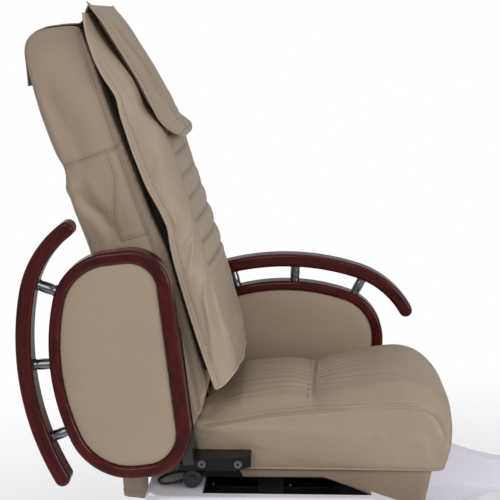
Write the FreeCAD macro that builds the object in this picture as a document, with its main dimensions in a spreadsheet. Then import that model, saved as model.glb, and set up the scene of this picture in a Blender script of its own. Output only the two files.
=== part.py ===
import FreeCAD, Part
import math
import os
import re
from types import SimpleNamespace
from FreeCAD import Placement, Rotation, Vector

# Pedicure chair: +X towards the sitter's feet, +Y to the sitter's left, +Z up, floor at Z = 0.
# The right arm rests raised and the left arm rests lowered.
SIZES = {
    # moulded base with its foot tub
    "base_length": 1300, "base_width": 730, "deck_height": 432, "rim_height": 310, "shell_wall": 7,
    "base_corner": 60, "rim_round": 18, "slope_start": -142, "slope_angle": 18.7, "slope_blend": 520,
    "tub_side": 65, "tub_start": -180, "tub_slope": 45, "ledge_height": 240, "tub_front_rim": 26,
    "bowl_length": 430, "bowl_side": 50, "bowl_depth": 150, "bowl_wall": 5, "bowl_flange": 20,
    "bowl_front_gap": 45, "bowl_corner": 90, "bowl_floor_round": 40, "drain_radius": 26,
    "panel_thick": 12, "fit_gap": 0.3, "running_gap": 0.05,
    # steel chassis sunk in the deck
    "bay_rear": -520, "bay_front": -142, "bay_side": 39, "tray_depth": 56, "tray_wall": 4,
    "tray_flange": 10, "leg_side": 40,
    # slide between chassis and seat
    "rail_centre": 140, "rail_foot": 40, "rail_web": 18, "rail_head": 32, "rail_height": 18,
    "head_thick": 7, "foot_thick": 5, "block_length": 60, "block_width": 50, "block_top": 10,
    "slide_travel": 100, "actuator_drop": 20, "tube_radius": 15, "rod_radius": 7, "motor_radius": 20,
    # seat carriage
    "carriage_rear": -520, "carriage_front": -150, "channel_outer": 226, "channel_width": 36,
    "deck_gap": 4, "channel_depth": 30, "tube_wall": 3, "cross_length": 60, "lug_thick": 10,
    "lug_inner": 182, "recline_x": -545, "recline_rise": 23, "lug_radius": 20, "shaft_radius": 8,
    "gearmotor_radius": 21.5, "gearmotor_end": 304, "frame_outer": 214, "frame_tube": 30,
    "frame_depth": 40, "frame_rear": -536, "frame_front": 0, "pan_thick": 12,
    # seat cushion and its valance
    "seat_rear": -514, "seat_nose": 44, "seat_half_width": 230, "seat_bulge": 8, "seat_crown": 29,
    "seam_x": -265, "skirt_half_width": 230, "skirt_thick": 3, "skirt_rear": -430, "skirt_front": 2,
    "skirt_drop": 26, "skirt_tail_drop": 104, "skirt_break": -199,
    # armrest, drawn lowered with the hinge pin at its origin
    "arm_pivot_x": -555, "arm_pivot_rise": 62, "arm_middle": 342, "arm_width": 60, "arm_swing": 97,
    "ring_back": -37, "ring_front": 471.5, "ring_top": 268, "ring_bottom": -20, "ring_bar": 28,
    "ring_lift": 3, "top_radius": 510, "top_centre": 215, "rear_upper_radius": 145,
    "front_upper_radius": 135, "front_lower_radius": 90, "rear_lower_radius": 100, "wood_round": 8,
    "panel_core": 34, "panel_crown": 10, "hand_rail_top": 340, "hand_rail_bar": 34,
    "hand_rail_radius": 620, "nose_radius": 230, "hand_rail_rear_angle": 22.3, "nose_start_angle": 17.4,
    "nose_end_angle": 60, "post_radius": 13, "post_waist": 12.5, "post_collar": 4, "post_gap": 1.2,
    "plate_thick": 6, "plate_end": 285, "plate_low": 22, "plate_high": 18, "tail_half": 12,
    "tail_end": 36, "hinge_gap": 0.5, "pin_radius": 6, "stop_radius": 5, "stop_gap": 0.05,
    "bracket_depth": 64, "bracket_length": 157, "bracket_drop": 50, "bracket_height": 30,
    "barrel_radius": 15, "barrel_length": 44, "bracket_chamfer_x": 35, "bracket_chamfer_y": 28,
    "boss_radius": 10, "screw_first": 33, "screw_pitch": 81, "screw_radius": 4, "screw_head": 6.5,
    # back rest
    "back_half_width": 236, "back_wall": 30, "back_edge_round": 26, "back_crest_round": 38,
    "back_length": 742, "back_lean": 17.04, "axis_x": -605, "axis_rise": 254, "frame_half": 195,
    "frame_bar": 30, "frame_set_back": 20, "frame_low": -200, "frame_top_drop": 52, "cross_low": -30,
    "cross_top_drop": 102, "plate_half": 180, "back_plate": 8, "pad_half_width": 214, "pad_depth": 82,
    "pad_low": -70, "pad_top_rise": 30, "rib_pitch": 46, "rib_depth": 5, "rib_drop": 262, "rib_count": 6,
    "pad_step": 64, "step_share": 0.74, "top_share": 0.3,
    "wing_thick": 4, "wing_flare": 258, "wing_bow": 5, "pillow_half_width": 205, "pillow_thick": 32,
    "pillow_gap": 1.6, "pillow_drop": 264, "pillow_top_rise": 50, "strap_half_width": 190, "strap_thick": 3,
    "tail_half_width": 200, "tail_thick": 4, "tail_drop": 60,
    # massage unit inside the back
    "rod_spacing": 90, "guide_radius": 7, "screw_shaft_radius": 8, "massage_motor_radius": 26,
    "massage_motor_length": 90, "head_low": 300, "head_height": 60, "head_width": 240, "head_depth": 40,
    "axle_radius": 6, "axle_reach": 48, "roller_radius": 26, "roller_width": 22,
    # motor lead
    "lead_radius": 3,
}

# Sizes that follow from the ones above
TIED = {
    "tub_half_width": "base_width / 2 - tub_side",
    "bowl_width": "2 * (tub_half_width - bowl_side)",
    "bay_half_width": "base_width / 2 - bay_side",
    "actuator_height": "deck_height - actuator_drop",
    "channel_bottom": "deck_height + deck_gap",
    "seat_base": "channel_bottom + channel_depth",
    "recline_z": "deck_height + recline_rise",
    "arm_pivot_z": "seat_base + arm_pivot_rise",
    "axis_z": "seat_base + axis_rise",
    "tail_foot": "deck_height - tail_drop",
    "frame_high": "back_length - frame_top_drop",
    "cross_high": "back_length - cross_top_drop",
    "pad_high": "back_length + pad_top_rise",
    "pillow_low": "back_length - pillow_drop",
    "pillow_high": "back_length + pillow_top_rise",
    "rib_first": "pillow_low - rib_drop",
}

doc = FreeCAD.newDocument("pedicure_chair")
sheet = doc.addObject("Spreadsheet::Sheet", "sizes")
for row, (alias, number) in enumerate(SIZES.items(), 1):
    sheet.set(f"A{row}", alias)
    sheet.set(f"B{row}", str(number))
    sheet.setAlias(f"B{row}", alias)


def linked(formula):
    """A formula with each size's name pointed at the object that holds it."""
    def owner(match):
        name = match[0]
        return "sizes." + name if name in SIZES else "tied." + name if name in TIED else name
    return re.sub(r"[a-z]\w+", owner, formula)


tied = doc.addObject("App::VarSet", "tied")
for name, formula in TIED.items():
    tied.addProperty("App::PropertyFloat", name)
    tied.setExpression(name, linked(formula))
doc.recompute()
v = SimpleNamespace(**{alias: float(sheet.get(alias)) for alias in SIZES},
                    **{name: getattr(tied, name) for name in TIED})
SUBPARTS = []
X_AXIS = Vector(1, 0, 0)
Y_AXIS = Vector(0, 1, 0)
Z_AXIS = Vector(0, 0, 1)
FAR = 2000


def bind(item, prop, formula):
    """Ties a property to a formula on the sizes' names."""
    item.setExpression(prop, linked(formula))


def keep(item, label):
    """Names an object as a finished sub-part."""
    item.Label = label
    SUBPARTS.append(item)
    return item


def place(item, where):
    """Ties an object's position to three formulas."""
    for axis, formula in zip("xyz", where):
        bind(item, ".Placement.Base." + axis, formula)


def box(name, spans, where):
    """A box from three span formulas and the formulas of its lowest corner."""
    item = doc.addObject("Part::Box", name)
    for prop, formula in zip(("Length", "Width", "Height"), spans):
        bind(item, prop, formula)
    place(item, where)
    return item


def rod(name, radius, length, where, axis):
    """A cylinder that starts at a point and runs along an axis."""
    item = doc.addObject("Part::Cylinder", name)
    bind(item, "Radius", radius)
    bind(item, "Height", length)
    item.Placement = Placement(Vector(), Rotation(Z_AXIS, axis))
    place(item, where)
    return item


def cut(name, base, *tools):
    """A base with one or more tools taken out."""
    item = doc.addObject("Part::Cut", name)
    item.Base = base
    item.Tool = tools[0] if len(tools) == 1 else join(name + "_tools", *tools)
    return item


def join(name, *pieces):
    """Pieces welded into one."""
    item = doc.addObject("Part::MultiFuse", name)
    item.Shapes = list(pieces)
    item.Refine = True
    return item


def group(label, *pieces):
    """Like pieces that stay separate solids in one node."""
    item = doc.addObject("Part::Compound", label)
    item.Links = list(pieces)
    return keep(item, label)


def solid(label, shape):
    """A sub-part whose free form is worked out here."""
    item = doc.addObject("Part::Feature", label)
    item.Shape = shape
    return keep(item, label)


def flat(across, up):
    """A drawing's point on a sketch plane."""
    return Vector(across, up, 0)


def side_view(y):
    """Puts a drawing's points into the side view at a given Y."""
    return lambda across, up: Vector(across, y, up)


def cross_view(x):
    """Puts a drawing's points (Y across, Z up) into the cross-section at a given X."""
    return lambda across, up: Vector(x, across, up)


def back_plan(along):
    """Puts a drawing's points (Y across, forward up) into a section square to the back's axis."""
    return lambda across, ahead: Vector(ahead, across, along)


def draw(path, view=flat):
    """Curves of a path: a step of one point is straight, a step of two points is an arc through the first."""
    curves = []
    here = view(*path[0])
    for step in path[1:]:
        points = [view(*point) for point in step]
        there = points[-1]
        curves.append(Part.Arc(here, points[0], there) if len(points) == 2 else Part.LineSegment(here, there))
        here = there
    return curves


def wire(path, view=flat):
    """A path as a wire in space."""
    return Part.Wire([curve.toShape() for curve in draw(path, view)])


def profile(body_name, paths, role, length, offset="0", symmetric=False):
    """A body padded from a sketch on one of its own planes."""
    body = doc.addObject("PartDesign::Body", body_name)
    sketch = body.newObject("Sketcher::SketchObject", body_name + "_sketch")
    plane = [feature for feature in body.Origin.OriginFeatures if feature.Role == role][0]
    sketch.AttachmentSupport = (plane, [""])
    sketch.MapMode = "FlatFace"
    bind(sketch, ".AttachmentOffset.Base.z", offset)
    sketch.addGeometry([curve for path in paths for curve in draw(path)], False)
    pad = body.newObject("PartDesign::Pad", body_name + "_pad")
    pad.Profile = sketch
    bind(pad, "Length", length)
    if symmetric:
        pad.SideType = "Symmetric"
    doc.recompute()
    return body


def round_rims(body, radius):
    """Rounds the edges of a padded body that lie in its two end faces."""
    base = body.Tip
    depth = base.Shape.BoundBox.YMax
    names = []
    for index, edge in enumerate(base.Shape.Edges, 1):
        if abs(abs(edge.BoundBox.YMin) - depth) < 0.01 and edge.BoundBox.YLength < 0.01:
            names.append(f"Edge{index}")
    fillet = body.newObject("PartDesign::Fillet", body.Name + "_round")
    fillet.Base = (base, names)
    bind(fillet, "Radius", radius)
    doc.recompute()


def slab(path, low, high):
    """A side-view outline given its width between two Y values."""
    return Part.Face(wire(path, side_view(low))).extrude(Vector(0, high - low, 0))


def rounded_plan(low, high, half_width, radius, bottom, top):
    """A block with rounded upright corners."""
    block = Part.makeBox(high - low, 2 * half_width, top - bottom, Vector(low, -half_width, bottom))
    upright = [edge for edge in block.Edges if edge.BoundBox.ZLength > 0.5 * (top - bottom)]
    return block.makeFillet(radius, upright)


def sine(angle):
    return math.sin(math.radians(angle))


def cosine(angle):
    return math.cos(math.radians(angle))


# Moulded base: a hollow shell with a flat deck, sides that sweep down to the tub rim, and the tub recess
def base_profile(inset, bottom):
    """Side view of the base's outside, drawn in by an inset."""
    half = v.base_length / 2 - inset
    deck = v.deck_height - inset
    rim = v.rim_height - inset
    blend = v.slope_blend + inset
    fall = deck - rim - blend * (1 - cosine(v.slope_angle))
    slope_end = v.slope_start + fall / math.tan(math.radians(v.slope_angle))
    flat_start = slope_end + blend * sine(v.slope_angle)
    middle = v.slope_angle / 2
    via = (flat_start - blend * sine(middle), rim + blend * (1 - cosine(middle)))
    blend_top = (slope_end, rim + blend * (1 - cosine(v.slope_angle)))
    return [(-half, bottom), ((half, bottom),), ((half, rim),), ((flat_start, rim),), (via, blend_top),
                 ((v.slope_start, deck),), ((-half, deck),), ((-half, bottom),)]


def base_block(inset, bottom):
    half_width = v.base_width / 2 - inset
    half = v.base_length / 2 - inset
    sides = slab(base_profile(inset, bottom), -half_width, half_width)
    plan = rounded_plan(-half, half, half_width, v.base_corner - inset, bottom, v.deck_height)
    return sides.common(plan)


def recess(margin):
    """The tub's hollow above its ledge, widened by a margin."""
    front = v.base_length / 2 - v.tub_front_rim + margin
    ledge = v.ledge_height - margin
    start = v.tub_start - margin
    run = (v.deck_height - ledge) / math.tan(math.radians(v.tub_slope))
    edges = [(start, v.deck_height), ((start + run, ledge),), ((front, ledge),), ((front, v.deck_height),),
                  ((start, v.deck_height),)]
    half_width = v.tub_half_width + margin
    return slab(edges, -half_width, half_width)


def crown_rim(block):
    """Rounds the base's long top edges."""
    half_width = v.base_width / 2
    rims = [edge for edge in block.Edges
            if edge.BoundBox.YLength < 0.01 and abs(abs(edge.BoundBox.YMin) - half_width) < 0.01
            and edge.BoundBox.ZMin > v.rim_height - 1]
    return block.makeFillet(v.rim_round, rims)


bowl_front = v.base_length / 2 - v.tub_front_rim - v.bowl_front_gap
bowl_rear = bowl_front - v.bowl_length
bowl_half = v.bowl_width / 2
mouth_gap = v.bowl_wall + 1
outside = crown_rim(base_block(0, 0))
shell = outside.cut(base_block(v.shell_wall, -1))
shell = shell.fuse(recess(v.shell_wall).common(outside)).cut(recess(0))
bay = Part.makeBox(v.bay_front - v.bay_rear, 2 * v.bay_half_width, v.tray_depth + v.shell_wall + 1,
                   Vector(v.bay_rear, -v.bay_half_width, v.deck_height - v.shell_wall - v.tray_depth))
mouth = rounded_plan(bowl_rear - mouth_gap, bowl_front + mouth_gap, bowl_half + mouth_gap,
                     v.bowl_corner + mouth_gap, v.ledge_height - v.shell_wall - 1, v.ledge_height + 1)
solid("base_shell", shell.cut(bay).cut(mouth).removeSplitter())

panel_gap = "(shell_wall + fit_gap)"
keep(box("floor_board", (f"base_length - 2 * {panel_gap} - 2 * base_corner", f"base_width - 2 * {panel_gap}",
                         "panel_thick"),
         (f"{panel_gap} + base_corner - base_length / 2", f"{panel_gap} - base_width / 2", "0")),
     "base_floor_panel")


# Foot bowl: a drop-in basin with a flange on the tub's ledge and a round drain
def basin(inset, top):
    floor = v.ledge_height - v.bowl_depth + inset
    block = rounded_plan(bowl_rear + inset, bowl_front - inset, bowl_half - inset, v.bowl_corner - inset, floor, top)
    low_rim = [edge for edge in block.Edges if edge.BoundBox.ZMax < floor + 0.01]
    return block.makeFillet(v.bowl_floor_round - inset, low_rim)


flange_top = v.ledge_height + v.bowl_wall
flange = rounded_plan(bowl_rear - v.bowl_flange, bowl_front + v.bowl_flange, bowl_half + v.bowl_flange,
                      v.bowl_corner + v.bowl_flange, v.ledge_height, flange_top)
bowl_floor = v.ledge_height - v.bowl_depth
bowl_middle = (bowl_rear + bowl_front) / 2
drain_hole = Part.makeCylinder(v.drain_radius, 4 * v.bowl_wall, Vector(bowl_middle, 0, bowl_floor - v.bowl_wall))
solid("foot_bowl", basin(0, flange_top).fuse(flange).cut(basin(v.bowl_wall, flange_top + 1)).cut(drain_hole))

# Drain: a flanged cup with a ring of strainer holes
drain_top = bowl_floor + v.bowl_wall
drain = Part.makeCylinder(v.drain_radius - v.fit_gap, 46, Vector(bowl_middle, 0, drain_top - 46))
drain = drain.fuse(Part.makeCylinder(v.drain_radius + 8, 3, Vector(bowl_middle, 0, drain_top)))
drain = drain.cut(Part.makeCylinder(v.drain_radius - 4, 44, Vector(bowl_middle, 0, drain_top - 47)))
strainer = Part.makeCylinder(3, 12, Vector(bowl_middle + v.drain_radius / 2, 0, drain_top - 6))
for turn in range(8):
    hole = strainer.copy()
    hole.rotate(Vector(bowl_middle, 0, 0), Z_AXIS, 45 * turn)
    drain = drain.cut(hole)
solid("bowl_drain", drain)

# Chassis: a flanged steel tray under the deck's bay, on four legs
tray_low = "(deck_height - shell_wall - tray_depth)"
bay_span = "(bay_front - bay_rear)"
tray_out = box("tray_out", (bay_span, "2 * bay_half_width", "tray_depth"),
               ("bay_rear", "-bay_half_width", tray_low))
tray_in = box("tray_in", (f"{bay_span} - 2 * tray_wall", "2 * (bay_half_width - tray_wall)", "tray_depth"),
              ("bay_rear + tray_wall", "tray_wall - bay_half_width", f"{tray_low} + tray_wall"))
lip = box("tray_lip", (f"{bay_span} + tray_flange", "2 * (bay_half_width + tray_flange)", "tray_wall"),
          ("bay_rear - tray_flange", "-bay_half_width - tray_flange", "deck_height - shell_wall - tray_wall"))
legs = []
for side, y_formula in (("right", "-bay_half_width"), ("left", "bay_half_width - leg_side")):
    for end, x_formula in (("rear", "bay_rear"), ("front", "bay_front - leg_side")):
        legs.append(box(f"leg_{end}_{side}", ("leg_side", "leg_side", f"{tray_low} - panel_thick"),
                        (x_formula, y_formula, "panel_thick")))
recess_edge = "(deck_height + tub_start - bay_front - 2 * shell_wall)"
gate = box("tray_gate", ("2 * leg_side", "2 * (tub_half_width + shell_wall + fit_gap)", "tray_depth"),
           ("bay_front - leg_side", "-tub_half_width - shell_wall - fit_gap", recess_edge))
keep(cut("chassis", join("chassis_stock", tray_out, lip, *legs), tray_in, gate), "base_frame")

# Slide rails: two headed rails on the tray floor, held by countersunk screws
floor_top = v.deck_height - v.shell_wall - v.tray_depth + v.tray_wall
floor_formula = f"({tray_low} + tray_wall)"
rail_top = floor_top + v.rail_height
head_low = rail_top - v.head_thick
foot_top = floor_top + v.foot_thick


def rail_section(centre):
    foot, web, head = v.rail_foot / 2, v.rail_web / 2, v.rail_head / 2
    right = [(foot, floor_top), (foot, foot_top), (web, foot_top), (web, head_low), (head, head_low),
             (head, rail_top)]
    left = [(-across, up) for across, up in reversed(right)]
    points = [(centre + across, up) for across, up in right + left]
    return [points[-1], *[(point,) for point in points]]


rail_length = f"({bay_span} - 2 * tray_wall - 2 * fit_gap)"
for side, sign in (("right", -1), ("left", 1)):
    rail = profile(f"slide_rail_{side}", [rail_section(sign * v.rail_centre)], "YZ_Plane", rail_length,
                   "bay_rear + tray_wall + fit_gap")
    keep(rail, f"guide_rail_{side}")
screws = []
for side, sign in (("right", "-"), ("left", "")):
    for end, along in (("rear", "bay_rear + 12"), ("middle", "(carriage_rear + carriage_front + 20) / 2")):
        screws.append(rod(f"rail_screw_{end}_{side}", "rail_web / 4", "rail_web / 6",
                          (along, f"{sign}rail_centre", f"{floor_formula} + rail_height"), Z_AXIS))
group("rail_screws", *screws)

# Seat slide actuator: motor and tube on the chassis, rod on the carriage
tube_rear = f"(bay_rear + tray_wall + 2)"
tube_length = 172
tube = rod("actuator_tube", "tube_radius", str(tube_length), (tube_rear, "0", "actuator_height"), X_AXIS)
bore = rod("actuator_bore", "rod_radius + running_gap", str(tube_length),
           (f"{tube_rear} + 8", "0", "actuator_height"), X_AXIS)
motor = rod("actuator_motor", "motor_radius", "84", (tube_rear, "motor_radius + tube_radius + 8", "actuator_height"),
            X_AXIS)
gearbox = box("actuator_gearbox", ("26", "2 * motor_radius + 2 * tube_radius + 6", "2 * motor_radius"),
              (tube_rear, "-tube_radius - 2", "actuator_height - motor_radius"))
foot = box("actuator_foot", ("26", "30", f"actuator_height - {floor_formula}"),
           (tube_rear, "-15", floor_formula))
keep(cut("actuator_housing", join("actuator_stock", tube, motor, gearbox, foot), bore), "slide_actuator")
rod_lug_x = "(carriage_front - 30)"
keep(rod("actuator_shaft", "rod_radius", f"{rod_lug_x} - {tube_rear} - 120",
         (f"{tube_rear} + 120", "0", "actuator_height"), X_AXIS), "slide_actuator_rod")

# Carriage: two box channels, cross bars with saddles on the rails, and the recline lugs
carriage_length = "(carriage_front - carriage_rear)"
block_top_z = f"({floor_formula} + rail_height + block_top)"
weldment = []
hollows = []
for side, low in (("right", "-channel_outer"), ("left", "channel_outer - channel_width")):
    weldment.append(box(f"channel_{side}", (carriage_length, "channel_width", "channel_depth"),
                        ("carriage_rear", low, "channel_bottom")))
    hollows.append(box(f"channel_bore_{side}",
                       (carriage_length, "channel_width - 2 * tube_wall", f"channel_depth - 2 * tube_wall"),
                       ("carriage_rear", f"{low} + tube_wall", "channel_bottom + tube_wall")))
cross_half = "(channel_outer - channel_width + tube_wall)"
block_starts = {"rear": "(carriage_rear + slide_travel + 20)", "front": "(carriage_front - cross_length)"}
for end, start in block_starts.items():
    weldment.append(box(f"cross_bar_{end}", ("cross_length", f"2 * {cross_half}", "16"),
                        (start, f"-{cross_half}", "channel_bottom")))
    for side, sign in (("right", "-"), ("left", "")):
        weldment.append(box(f"saddle_{end}_{side}", ("cross_length", "block_width", f"channel_bottom - {block_top_z}"),
                            (start, f"{sign}rail_centre - block_width / 2", block_top_z)))
weldment.append(box("rod_lug", ("12", "28", "channel_bottom - actuator_height + 18"),
                    (rod_lug_x, "-14", "actuator_height - 18")))
for side, low, inner in (("right", "-lug_inner - lug_thick", "-lug_inner"), ("left", "lug_inner", "lug_inner")):
    weldment.append(box(f"lug_{side}", ("carriage_rear + 40 - recline_x", "lug_thick", "seat_base - channel_bottom"),
                        ("recline_x", low, "channel_bottom")))
    weldment.append(rod(f"lug_eye_{side}", "lug_radius", "lug_thick", ("recline_x", low, "recline_z"), Y_AXIS))
    hollows.append(rod(f"lug_bore_{side}", "shaft_radius + running_gap", "3 * lug_thick",
                       ("recline_x", f"{low} - lug_thick", "recline_z"), Y_AXIS))
keep(cut("carriage_weldment", join("carriage_stock", *weldment), *hollows), "carriage_frame")


def block_section(centre):
    """A slide block's section: a cap over the rail's head with a slot for its web."""
    half = v.block_width / 2
    head = v.rail_head / 2 + v.fit_gap
    web = v.rail_web / 2 + v.fit_gap
    skirt = foot_top + 1
    lip = head_low - v.fit_gap
    right = [(web, skirt), (half, skirt), (half, rail_top + v.block_top)]
    left = [(-half, rail_top + v.block_top), (-half, skirt), (-web, skirt), (-web, lip), (-head, lip),
            (-head, rail_top), (head, rail_top), (head, lip), (web, lip)]
    points = [(centre + across, up) for across, up in right + left]
    return [points[-1], *[(point,) for point in points]]


blocks = []
for end, start in block_starts.items():
    for side, sign in (("right", -1), ("left", 1)):
        blocks.append(profile(f"block_{end}_{side}", [block_section(sign * v.rail_centre)], "YZ_Plane",
                              "block_length", start))
group("guide_blocks", *blocks)

# Seat frame and pan: a ring of box tube under a plywood board
frame_top = "(seat_base + frame_depth)"
frame_span = "(frame_front - frame_rear)"
ring_out = box("frame_out", (frame_span, "2 * frame_outer", "frame_depth"),
               ("frame_rear", "-frame_outer", "seat_base"))
ring_in = box("frame_in", (f"{frame_span} - 2 * frame_tube", "2 * (frame_outer - frame_tube)", "2 * frame_depth"),
              ("frame_rear + frame_tube", "frame_tube - frame_outer", "seat_base - frame_depth / 2"))
bolt_holes = []
for side, sign in (("right", "-"), ("left", "")):
    for number in range(2):
        along = f"arm_pivot_x + screw_first + {number} * screw_pitch"
        start = "-frame_outer - 1" if sign else "frame_outer - frame_tube / 2"
        bolt_holes.append(rod(f"bolt_hole_{side}_{number}", "screw_radius + fit_gap", "frame_tube / 2 + 1",
                              (along, start, "arm_pivot_z - bracket_drop + bracket_height / 2"), Y_AXIS))
drive_clear = rod("drive_clear", "gearmotor_radius + 2", "2 * frame_outer + 2",
                  ("recline_x", "-frame_outer - 1", "recline_z"), Y_AXIS)
keep(cut("seat_ring", ring_out, ring_in, drive_clear, *bolt_holes), "seat_frame")
keep(box("seat_board", (f"frame_front - seat_rear", "2 * frame_outer", "pan_thick"),
         ("seat_rear", "-frame_outer", frame_top)), "seat_pan")

# Seat cushion: a wedge with a cross seam, a thigh roll and a round nose, crowned across and drawn in at its sides
def cushion_profile(inset, crown):
    """Side view of the cushion, drawn in all round by an inset and raised by a crown."""
    rear, nose = v.seat_rear + inset, v.seat_nose - inset + crown / 4
    low, top = v.seat_base + v.fit_gap + inset, v.seat_base - inset + crown
    return [(rear, low), ((nose - 26, low),), ((nose, low + 40), (nose - 20, top + 90)),
            ((nose - 50, top + 138), (nose - 120, top + 160)),
            ((v.seam_x + 90, top + 149), (v.seam_x, top + 134)), ((v.seam_x - 120, top + 122), (rear, top + 100)),
            ((rear, low),)]


def across(half_width, sections):
    """A soft block skinned across the chair: each section has a share of the half width and its own outline."""
    right = [wire(path, side_view(-share * half_width)) for share, path in reversed(sections) if share]
    left = [wire(path, side_view(share * half_width)) for share, path in sections]
    return Part.makeLoft(right + left, True, False)


seat_side = v.seat_half_width + v.seat_bulge
cushion = across(seat_side, [(share, cushion_profile(inset, v.seat_crown * (1 - share * share)))
                             for share, inset in ((0, 0), (0.4, 0), (0.7, 0), (0.9, 0), (0.97, 3), (1, 10))])
pocket_half = v.frame_outer + 3 * v.fit_gap
pocket_front = v.frame_front + 3
pocket = Part.makeBox(FAR + pocket_front, 2 * pocket_half, v.frame_depth + v.pan_thick + v.fit_gap + 20,
                      Vector(-FAR, -pocket_half, v.seat_base - 20))
cushion = cushion.cut(pocket)
bolt_z = v.arm_pivot_z - v.bracket_drop + v.bracket_height / 2
for number in range(2):
    along = v.arm_pivot_x + v.screw_first + number * v.screw_pitch
    cushion = cushion.cut(Part.makeCylinder(v.boss_radius + 2 * v.fit_gap, FAR, Vector(along, -FAR / 2, bolt_z), Y_AXIS))
solid("seat_cushion", cushion)


# Valance: a leather skirt round the seat's sides and front, cut to follow the base's slope
def skirt_profile(inset):
    top = v.seat_base - v.fit_gap
    front = v.skirt_front - inset
    level = v.seat_base - v.skirt_drop
    toe = v.seat_base - v.skirt_tail_drop
    return [(v.skirt_rear, top), ((v.skirt_rear + 18, level),), ((v.skirt_break, level),),
                 ((front - 22, toe),), ((front, top),), ((v.skirt_rear, top),)]


skirt_inner = v.skirt_half_width - v.skirt_thick
skirt = slab(skirt_profile(0), -v.skirt_half_width, v.skirt_half_width)
skirt_core = slab(skirt_profile(v.skirt_thick), -skirt_inner, skirt_inner)
below = Part.makeBox(2 * FAR, 2 * skirt_inner, FAR, Vector(-2 * FAR - v.skirt_thick + v.skirt_front - 22,
                                                           -skirt_inner, v.seat_base - FAR))
solid("seat_skirt", skirt.cut(skirt_core).cut(below))


# Armrests: an oval wooden ring round a padded panel, and a curved hand rail on three turned posts
def corner_heights():
    """Heights of the two upper corner centres that run tangent into the top arc."""
    low = v.ring_top - v.top_radius
    heights = []
    for radius, centre in ((v.rear_upper_radius, v.ring_back + v.rear_upper_radius),
                           (v.front_upper_radius, v.ring_front - v.front_upper_radius)):
        heights.append(low + math.sqrt((v.top_radius - radius) ** 2 - (centre - v.top_centre) ** 2))
    return heights


def oval(inset, lift=0):
    """The ring's outline as tangent arcs and lines, drawn in by an inset."""
    rear_z, front_z = corner_heights()
    corners = {
        "rear_low": (v.ring_back + v.rear_lower_radius, v.ring_bottom + v.rear_lower_radius, v.rear_lower_radius),
        "front_low": (v.ring_front - v.front_lower_radius, v.ring_bottom + v.front_lower_radius,
                      v.front_lower_radius),
        "front_up": (v.ring_front - v.front_upper_radius, front_z, v.front_upper_radius),
        "rear_up": (v.ring_back + v.rear_upper_radius, rear_z, v.rear_upper_radius),
        "top": (v.top_centre, v.ring_top - v.top_radius, v.top_radius),
    }

    def at(name, angle):
        across, up, radius = corners[name]
        return (across + (radius - inset) * cosine(angle), up + lift + (radius - inset) * sine(angle))

    top_low = v.ring_top - v.top_radius
    front_turn = math.degrees(math.atan2(front_z - top_low, corners["front_up"][0] - v.top_centre))
    rear_turn = math.degrees(math.atan2(rear_z - top_low, corners["rear_up"][0] - v.top_centre))
    return [at("rear_low", 270), (at("front_low", 270),), (at("front_low", 315), at("front_low", 0)),
                 (at("front_up", 0),), (at("front_up", front_turn / 2), at("front_up", front_turn)),
                 (at("top", (front_turn + rear_turn) / 2), at("top", rear_turn)),
                 (at("rear_up", (rear_turn + 180) / 2), at("rear_up", 180)), (at("rear_low", 180),),
                 (at("rear_low", 225), at("rear_low", 270))]


def hand_rail_centres():
    """Centres of the rail's long arc and of its tighter nose arc, and the long arc's radius."""
    radius = v.hand_rail_radius
    long_centre = (v.top_centre, v.hand_rail_top - v.hand_rail_bar / 2 - radius)
    step = radius - v.nose_radius
    nose_centre = (long_centre[0] + step * sine(v.nose_start_angle), long_centre[1] + step * cosine(v.nose_start_angle))
    return long_centre, nose_centre


def hand_rail_outline():
    long_centre, nose_centre = hand_rail_centres()
    half = v.hand_rail_bar / 2

    def at(centre, radius, angle):
        return (centre[0] + radius * sine(angle), centre[1] + radius * cosine(angle))

    outer, inner = v.hand_rail_radius + half, v.hand_rail_radius - half
    nose_outer, nose_inner = v.nose_radius + half, v.nose_radius - half
    rear, turn, tip = -v.hand_rail_rear_angle, v.nose_start_angle, v.nose_end_angle
    middle, bend = (rear + turn) / 2, (turn + tip) / 2
    tip_cap = math.degrees(half / v.nose_radius)
    rear_cap = math.degrees(half / v.hand_rail_radius)
    return [at(long_centre, outer, rear), (at(long_centre, outer, middle), at(long_centre, outer, turn)),
                 (at(nose_centre, nose_outer, bend), at(nose_centre, nose_outer, tip)),
                 (at(nose_centre, v.nose_radius, tip + tip_cap), at(nose_centre, nose_inner, tip)),
                 (at(nose_centre, nose_inner, bend), at(nose_centre, nose_inner, turn)),
                 (at(long_centre, inner, middle), at(long_centre, inner, rear)),
                 (at(long_centre, v.hand_rail_radius, rear - rear_cap), at(long_centre, outer, rear))]


def reach(start, angle, centre, radius):
    """Distance from a point, along an angle from upright, to the far side of a circle."""
    across, up = start[0] - centre[0], start[1] - centre[1]
    half = across * sine(angle) + up * cosine(angle)
    return -half + math.sqrt(half * half - across * across - up * up + radius * radius)


def post_seats():
    """Where each post stands on the ring, its lean from upright and its length."""
    rear_z, front_z = corner_heights()
    long_centre, nose_centre = hand_rail_centres()
    half = v.hand_rail_bar / 2
    top = (v.top_centre, v.ring_top - v.top_radius)
    front = (v.ring_front - v.front_upper_radius, front_z)
    seats = []
    for centre, radius, angle, rail_centre, rail_radius in (
            (top, v.top_radius, -15, long_centre, v.hand_rail_radius),
            (top, v.top_radius, 2.5, long_centre, v.hand_rail_radius),
            (front, v.front_upper_radius, 26.5, nose_centre, v.nose_radius)):
        foot = (centre[0] + radius * sine(angle), centre[1] + radius * cosine(angle))
        seats.append((foot, angle, reach(foot, angle, rail_centre, rail_radius - half)))
    return seats


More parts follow.
